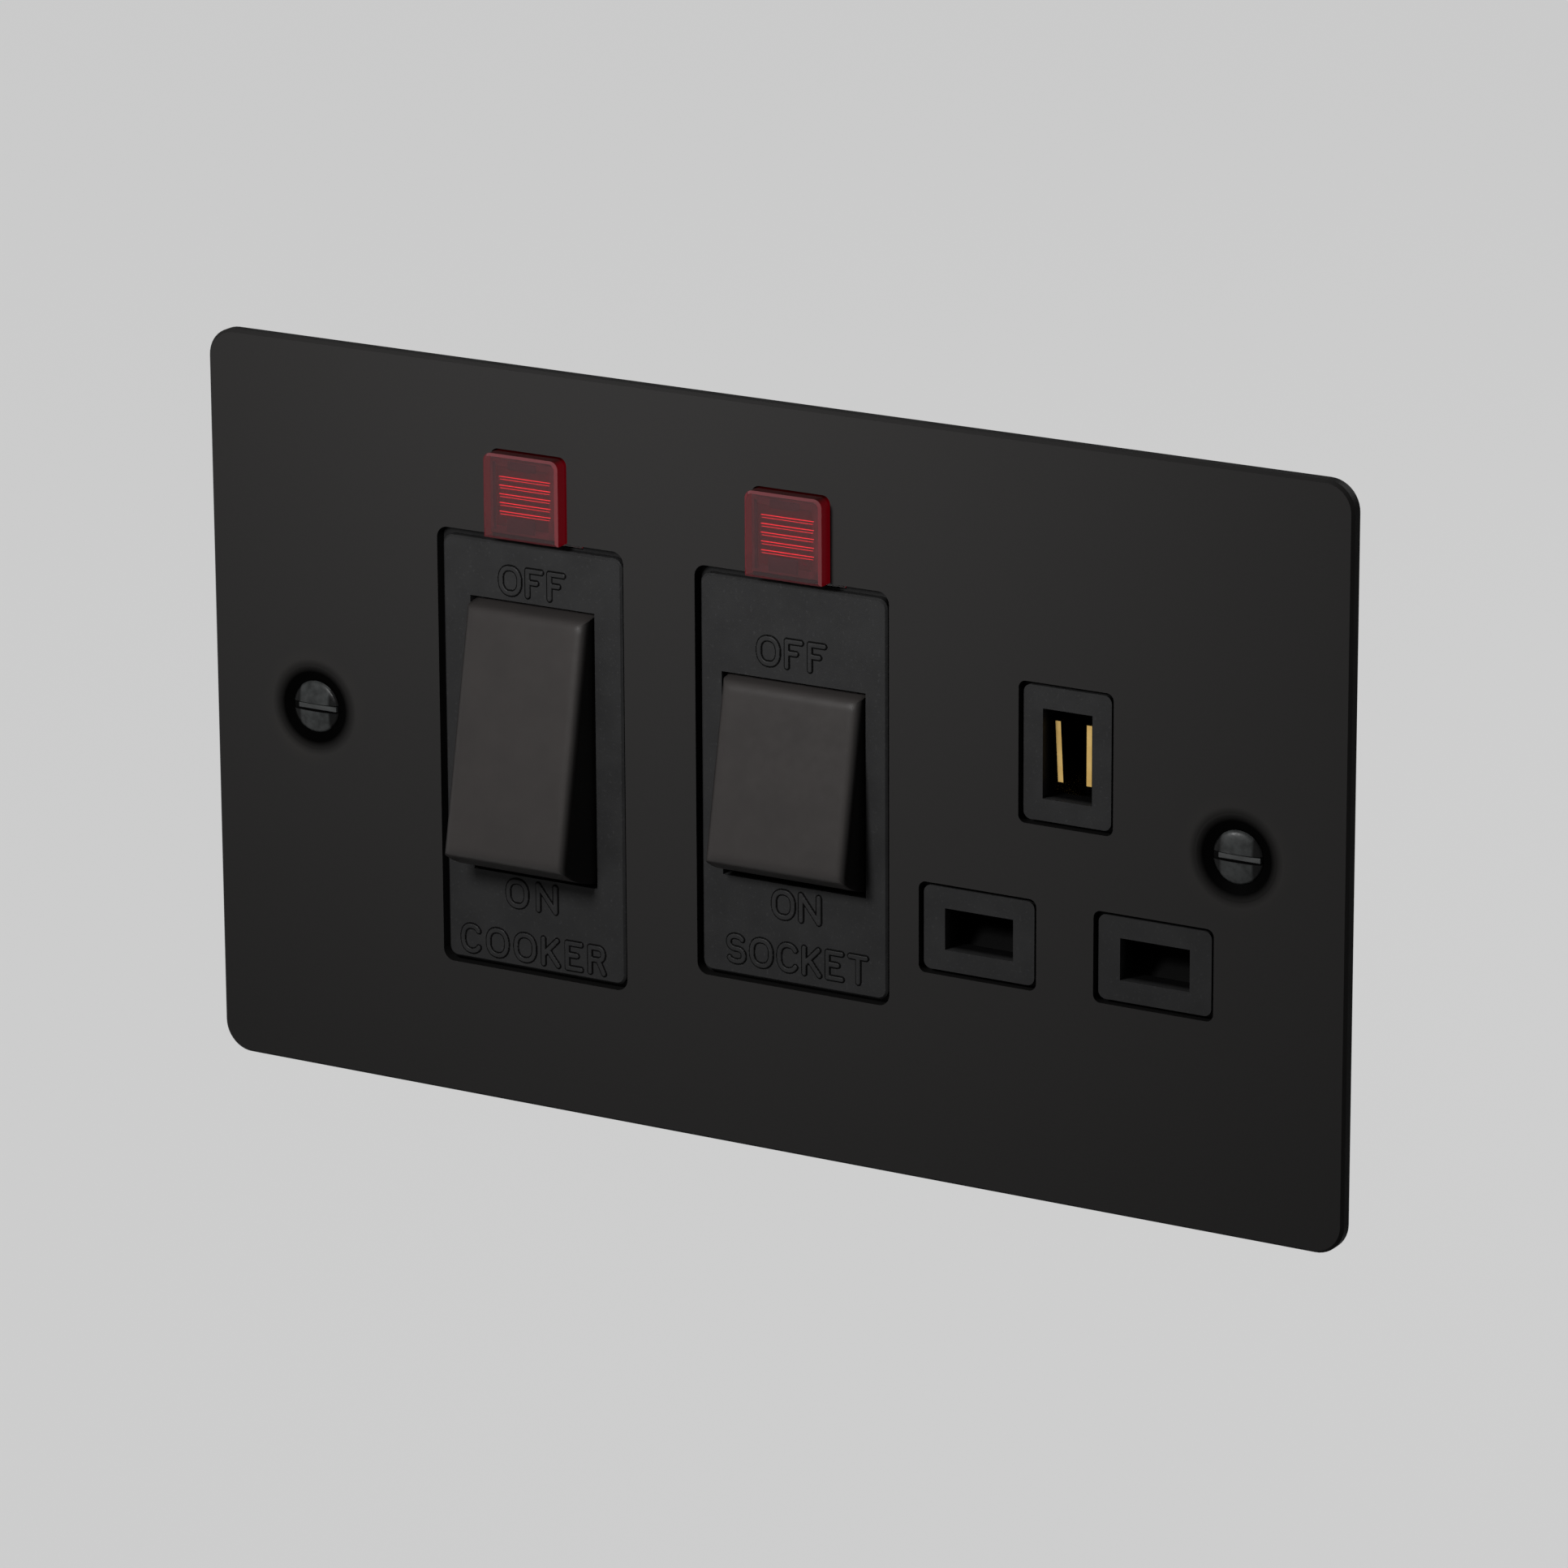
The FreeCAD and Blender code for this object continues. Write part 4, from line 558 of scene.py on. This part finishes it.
word("cooker_off_mark", "OFF", -30.35, 18.8, 9.0, TALL, STROKE)
word("cooker_on_mark", "ON", -30.95, -18.6, 7.05, TALL, STROKE)
word("cooker_word", "COOKER", -30.85, -25.0, 19.75, TALL, WORD_STROKE)
word("socket_off_mark", "OFF", 3.9, 15.2, 9.1, TALL, STROKE)
word("socket_on_mark", "ON", 4.4, -14.4, 6.5, TALL, STROKE)
word("socket_word", "SOCKET", 4.5, -20.6, 18.6, TALL, WORD_STROKE)


# Ribs, reflector and lamp shadows that show through the indicator lenses, the shadows painted and
# the ribs glowing with painted light

TAB_HALF = 5.0
TAB_TOP = 1.02
RIB_COUNT = 5
RIB_STEP = 1.02
RIB_UP = 0.35
RIB_HALF = 0.03

# Depths behind a lens's face at which each layer starts and ends
RIB_DEEP = (0.55, 0.75)
LINE_DEEP = (0.60, 0.75)
SHADOW_DEEP = (0.95, 1.1)
REFLECTOR_DEEP = (1.15, 1.45)


def block(bm, low, high, soft=0.0):
    """Adds a box between two corners in millimetres, with its edges bevelled by soft."""
    made = bmesh.ops.create_cube(bm, size=1)
    for vert in made["verts"]:
        for axis in range(3):
            middle = (low[axis] + high[axis]) / 2
            vert.co[axis] = (middle + vert.co[axis] * (high[axis] - low[axis])) * MM
    if soft:
        edges = {edge for vert in made["verts"] for edge in vert.link_edges}
        bmesh.ops.bevel(bm, geom=list(edges), offset=soft * MM, segments=2, affect="EDGES")


def blocks(name, boxes, look, soft):
    """Adds bevelled boxes as one piece of the fixed unit."""
    bm = bmesh.new()
    for low, high in boxes:
        block(bm, low, high, soft)
    mesh = bpy.data.meshes.new(name)
    bm.to_mesh(mesh)
    bm.free()
    piece(name, mesh, look, "unit")


def lens_inside(prefix):
    """Double ribs, a reflector and sheets of painted shadow of the lamp just behind a lens."""
    low, high = (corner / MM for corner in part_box(prefix + "_lens"))
    x, z = (low.x + high.x) / 2, high.z - TAB_TOP - TAB_HALF
    front = low.y

    def layer(deep, left, right, bottom, top):
        """Corners of a box at one depth, with its sides measured from the lens's middle."""
        return (x + left, front + deep[0], bottom), (x + right, front + deep[1], top)

    ribs = []
    for k in range(RIB_COUNT):
        at = z + RIB_UP + (k - RIB_COUNT // 2) * RIB_STEP
        ribs += [
            layer(RIB_DEEP, -2.9, 3.9, at - RIB_HALF, at + RIB_HALF),
            layer(LINE_DEEP, -2.8, 3.8, at - 0.34, at - 0.31),
        ]
    blocks(prefix + "_lens_ribs", ribs, rib_look, 0.02)
    blocks(prefix + "_lens_reflector", [
        layer(REFLECTOR_DEEP, -4.3, 4.3, z - 4.4, z + 4.4),
    ], red_look, 0.05)
    # Grey sheets of painted shadow of the lamp
    blocks(prefix + "_lens_shadow", [
        layer(SHADOW_DEEP, -1.9, 1.9, z + 3.2, z + 4.2),
        layer(SHADOW_DEEP, -2.1, 1.7, z - 4.1, z - 2.4),
        layer(SHADOW_DEEP, -3.9, -3.5, z - 4.0, z + 4.0),
    ], lamp_shadow_look, 0.05)


lens_inside("cooker")
lens_inside("socket")


# Fixing screws with raised heads, a slot and a thread, with painted shade on the heads' sides and
# slot walls and painted light on the slot floors

RIM_Y = -1.05
SHANK_RAD = 1.75
SHANK_END = 22.0
SHANK_START = 0.4
TIP_RAD = 0.9
THREAD_ROWS = 4
THREAD_STEP = 0.6
THREAD_DEEP = 0.32
DOME_RAD = 3.06
DOME_HIGH = 0.60
DOME_STEPS = 8
HEAD_RAD = 3.10
SCREW_STEPS = 32
HEAD_ROOM = 1.2


def screw_mesh(bm, x):
    """Adds one fixing screw whose axis is parallel to Y at x."""
    profile = [(0.0, RIM_Y - DOME_HIGH)]
    for k in range(1, DOME_STEPS + 1):
        angle = k / DOME_STEPS * math.pi / 2
        profile.append((DOME_RAD * math.sin(angle), RIM_Y - DOME_HIGH * math.cos(angle)))
    profile += [(HEAD_RAD, RIM_Y + 0.04), (SHANK_RAD, 0.0)]
    steps = int((SHANK_END - 0.6) / THREAD_STEP * THREAD_ROWS)
    for k in range(steps + 1):
        profile.append((SHANK_RAD, SHANK_START + (SHANK_END - 2 * SHANK_START) * k / steps))
    profile.append((TIP_RAD, SHANK_END))
    profile.append((0.0, SHANK_END))
    sides = SCREW_STEPS
    rings = []
    for rad, y in profile:
        if rad == 0:
            rings.append([bm.verts.new((x * MM, y * MM, 0))])
            continue
        ring = []
        for i in range(sides):
            angle = 2 * math.pi * i / sides
            phase = (y / THREAD_STEP - i / sides) % 1.0
            threaded = rad == SHANK_RAD and 0.5 < y < SHANK_END - 0.5
            cut = THREAD_DEEP * abs(2 * phase - 1) if threaded else 0.0
            across = (x + (rad - cut) * math.cos(angle)) * MM
            ring.append(bm.verts.new((across, y * MM, (rad - cut) * math.sin(angle) * MM)))
        rings.append(ring)
    for a, b in zip(rings, rings[1:]):
        for i in range(sides):
            j = (i + 1) % sides
            if len(a) == 1:
                bm.faces.new([a[0], b[j], b[i]])
            elif len(b) == 1:
                bm.faces.new([a[i], a[j], b[0]])
            else:
                bm.faces.new([a[i], a[j], b[j], b[i]])


def cut_slots(obj, boxes):
    """Cuts boxes out of an object's mesh, with the boolean applied."""
    bm = bmesh.new()
    for low, high in boxes:
        block(bm, low, high)
    knife = bpy.data.objects.new("knife", bpy.data.meshes.new("knife"))
    bm.to_mesh(knife.data)
    bm.free()
    scene.collection.objects.link(knife)
    cut = obj.modifiers.new("slot", "BOOLEAN")
    cut.operation = "DIFFERENCE"
    cut.solver = "EXACT"
    cut.object = knife
    done = bpy.data.meshes.new_from_object(obj.evaluated_get(bpy.context.evaluated_depsgraph_get()))
    obj.modifiers.clear()
    old, obj.data = obj.data, done
    bpy.data.meshes.remove(old)
    bpy.data.objects.remove(knife)


SLOT_HALF = 0.47
SLOT_FLOOR = RIM_Y + 0.10
STRIP_HALF = 0.29
SHARP_ANGLE = 35


def fixing_screws():
    """Both fixing screws as one mesh with painted shade on the heads' sides and slot walls, with a
    narrow strip of painted light on the floor of each slot.
    """
    bm = bmesh.new()
    for x in (-FIX_PITCH / 2, FIX_PITCH / 2):
        screw_mesh(bm, x)
    bmesh.ops.recalc_face_normals(bm, faces=bm.faces)
    mesh = bpy.data.meshes.new("fixing_screws_shaded")
    bm.to_mesh(mesh)
    bm.free()
    obj = piece("fixing_screws_shaded", mesh, looks["screw_black"], "unit")
    cut_slots(obj, [
        ((x - 4, RIM_Y - HEAD_ROOM, -SLOT_HALF), (x + 4, SLOT_FLOOR, SLOT_HALF))
        for x in (-FIX_PITCH / 2, FIX_PITCH / 2)
    ])
    obj.data.materials.append(edge_shade_look.mat)
    # Faces inside the slots take the near-black painted shade
    for face in obj.data.polygons:
        level = abs(face.center.z) < (SLOT_HALF + 0.01) * MM
        inside = level and (RIM_Y - HEAD_ROOM) * MM < face.center.y < 0
        face.material_index = int(inside and (len(face.vertices) > 4 or abs(face.normal.z) > 0.9))
        face.use_smooth = not inside
    obj.data.set_sharp_from_angle(angle=math.radians(SHARP_ANGLE))
    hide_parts("fixing_screws")
    # Painted light: a lighter strip on the floor of each slot
    blocks("fixing_slot_floors", [
        ((x - 2.3, SLOT_FLOOR - 0.28, -STRIP_HALF), (x + 2.85, SLOT_FLOOR + 0.02, STRIP_HALF))
        for x in (-FIX_PITCH / 2, FIX_PITCH / 2)
    ], slot_light_look, 0.03)


fixing_screws()


# Springs of round wire with closed ends

COIL_STEPS = 24
WIRE_STEPS = 8

# A rocker's pivot, the direction of its plunger tubes at rest, and places along it from the pivot
PIVOT_Y = 1.6
TUBE_WAY = Vector((0, 0.979925, -0.199368))
PLUNGER_REAR = 3.38
COOK_SEAT = -5.28
SOCK_SEAT = -3.58

PLUNGER_TRAVEL = 0.8
PLUNGER_COIL = {"rad": 1.34, "wire": 0.34, "turns": 6}
SHUTTER_TRAVEL = 6.2
SHUTTER_COIL = {"rad": 1.7, "wire": 0.44, "turns": 8}


def spring(node, start, way, long, body, joint, travel, rad, wire, turns):
    """A coil in place of a CAD spring, from its fixed end at start along the unit direction way."""
    out = Vector((1, 0, 0))
    aside = way.cross(out)
    pitch = (long - 3 * wire) / (turns - 2)
    bm = bmesh.new()
    rings = []
    for k in range(round(turns * COIL_STEPS) + 1):
        turn = k / COIL_STEPS
        opened = min(max(turn - 1, 0), turns - 2)
        rise = wire / 2 + opened * pitch + (turn - opened) * wire
        ray = out * math.cos(2 * math.pi * turn) + aside * math.sin(2 * math.pi * turn)
        ring = []
        for i in range(WIRE_STEPS):
            angle = 2 * math.pi * i / WIRE_STEPS
            across = ray * (rad + wire / 2 * math.cos(angle))
            along = way * (rise + wire / 2 * math.sin(angle))
            ring.append(bm.verts.new((start + (across + along)) * MM))
        rings.append(ring)
    for a, b in zip(rings, rings[1:]):
        for i in range(WIRE_STEPS):
            j = (i + 1) % WIRE_STEPS
            bm.faces.new([a[i], a[j], b[j], b[i]])
    bm.faces.new(rings[0])
    bm.faces.new(rings[-1])
    bmesh.ops.recalc_face_normals(bm, faces=bm.faces)
    for face in bm.faces:
        face.smooth = True
    mesh = bpy.data.meshes.new(node + "_coil")
    bm.to_mesh(mesh)
    bm.free()
    obj = piece(node + "_coil", mesh, looks["spring_steel"], body)
    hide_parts(node)
    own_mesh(obj)


for switch, seat in (("cooker", COOK_SEAT), ("socket", SOCK_SEAT)):
    for pole in ("live", "neutral"):
        node = f"{switch}_spring_{pole}"
        low, high = (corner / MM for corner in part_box(node))
        foot = Vector(((low.x + high.x) / 2, PIVOT_Y, 0)) + TUBE_WAY * seat
        spring(node, foot, TUBE_WAY, PLUNGER_REAR - seat, f"{switch}_rocker",
               f"{switch}_plunger_{pole}_slide", PLUNGER_TRAVEL, **PLUNGER_COIL)
low, high = (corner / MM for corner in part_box("shutter_spring"))
foot = Vector(((low.x + high.x) / 2, (low.y + high.y) / 2, low.z))
spring("shutter_spring", foot, Vector((0, 0, 1)), high.z - low.z, "unit",
       "shutter_slide", SHUTTER_TRAVEL, **SHUTTER_COIL)


# Floor, light and camera

BACKGROUND = 0.597
FLOOR_GLOW = 0.652
FLOOR_LOW = -0.30
FLOOR_WIDE = 30
WORLD_FILL = 0.05
KEY_PLACE = (-0.022, -0.132, 0.080)
KEY_POWER = 1.07
KEY_RAD = 0.018
REAR_PLACE = (0.3, 1.2, 0.6)
REAR_POWER = 12
REAR_WIDE = 0.8
CAMERA_TURN = 30.42
CAMERA_RISE = 16.70
CAMERA_ROLL = -0.27
CAMERA_AIM = (2.19, 0, -0.49)
CAMERA_AWAY = 0.922
CAMERA_LENS = 187.5
CAMERA_SENSOR = 36


def seen_rays(tree, share=1.0):
    """One for camera, glossy and transmission rays, times share, and nought for the rest."""
    path = tree.nodes.new("ShaderNodeLightPath")
    total = path.outputs["Is Camera Ray"]
    for name in ("Is Glossy Ray", "Is Transmission Ray"):
        plus = tree.nodes.new("ShaderNodeMath")
        plus.operation = "MAXIMUM"
        tree.links.new(total, plus.inputs[0])
        tree.links.new(path.outputs[name], plus.inputs[1])
        total = plus.outputs[0]
    times = tree.nodes.new("ShaderNodeMath")
    times.operation = "MULTIPLY"
    tree.links.new(total, times.inputs[0])
    times.inputs[1].default_value = share
    return times.outputs[0]


def floor_paint():
    """Grey that is nearly even to the camera, with a little of the lit floor's shading in it."""
    mat = bpy.data.materials.new("floor_grey")
    mat.use_nodes = True
    tree = mat.node_tree
    shader = tree.nodes["Principled BSDF"]
    shader.inputs["Base Color"].default_value = (BACKGROUND, BACKGROUND, BACKGROUND, 1)
    shader.inputs["Roughness"].default_value = 0.9
    shader.inputs["Specular IOR Level"].default_value = 0.1
    glow = tree.nodes.new("ShaderNodeEmission")
    glow.inputs["Color"].default_value = (FLOOR_GLOW, FLOOR_GLOW, FLOOR_GLOW, 1)
    mix = tree.nodes.new("ShaderNodeMixShader")
    tree.links.new(seen_rays(tree, 0.9), mix.inputs[0])
    tree.links.new(shader.outputs[0], mix.inputs[1])
    tree.links.new(glow.outputs[0], mix.inputs[2])
    tree.links.new(mix.outputs[0], tree.nodes["Material Output"].inputs["Surface"])
    return mat


bpy.ops.mesh.primitive_plane_add(size=FLOOR_WIDE, location=(0, 0, FLOOR_LOW))
floor = bpy.context.object
floor.name = "floor"
floor.data.materials.append(floor_paint())

world = bpy.data.worlds.new("studio")
scene.world = world
world.use_nodes = True
back = world.node_tree.nodes["Background"]
back.inputs["Color"].default_value = (1, 1, 1, 1)
back.inputs["Strength"].default_value = WORLD_FILL
seen = world.node_tree.nodes.new("ShaderNodeBackground")
seen.inputs["Color"].default_value = (BACKGROUND, BACKGROUND, BACKGROUND, 1)
seen.inputs["Strength"].default_value = 1.0
world_mix = world.node_tree.nodes.new("ShaderNodeMixShader")
join = world.node_tree.links.new
join(seen_rays(world.node_tree), world_mix.inputs[0])
join(back.outputs[0], world_mix.inputs[1])
join(seen.outputs[0], world_mix.inputs[2])
join(world_mix.outputs[0], world.node_tree.nodes["World Output"].inputs["Surface"])


def lamp(name, place, power, size, aim=None):
    """A round lamp that shines all ways, or a square one that is aimed."""
    data = bpy.data.lights.new(name, "AREA" if aim else "POINT")
    if aim:
        data.size = size
    else:
        data.shadow_soft_size = size
    data.energy = power
    obj = bpy.data.objects.new(name, data)
    obj.location = place
    if aim:
        obj.rotation_euler = (Vector(aim) - Vector(place)).to_track_quat("-Z", "Y").to_euler()
    obj.visible_camera = False
    scene.collection.objects.link(obj)


lamp("key", KEY_PLACE, KEY_POWER, KEY_RAD)
lamp("rear", REAR_PLACE, REAR_POWER, REAR_WIDE, (0, 0, 0))

turn, rise, roll = (math.radians(angle) for angle in (CAMERA_TURN, CAMERA_RISE, CAMERA_ROLL))
back_way = Vector((
    math.sin(turn) * math.cos(rise), -math.cos(turn) * math.cos(rise), math.sin(rise),
))
right = Vector((0, 0, 1)).cross(back_way).normalized()
up = back_way.cross(right)
right, up = (
    right * math.cos(roll) + up * math.sin(roll),
    up * math.cos(roll) - right * math.sin(roll),
)
spot = Vector(CAMERA_AIM) * MM + back_way * CAMERA_AWAY
view = Matrix((right, up, back_way)).transposed().to_4x4()
view.translation = spot
camera_data = bpy.data.cameras.new("camera")
camera_data.lens = CAMERA_LENS
camera_data.sensor_width = CAMERA_SENSOR
camera = bpy.data.objects.new("camera", camera_data)
camera.matrix_world = view
scene.collection.objects.link(camera)
scene.camera = camera
scene.view_settings.view_transform = "Standard"
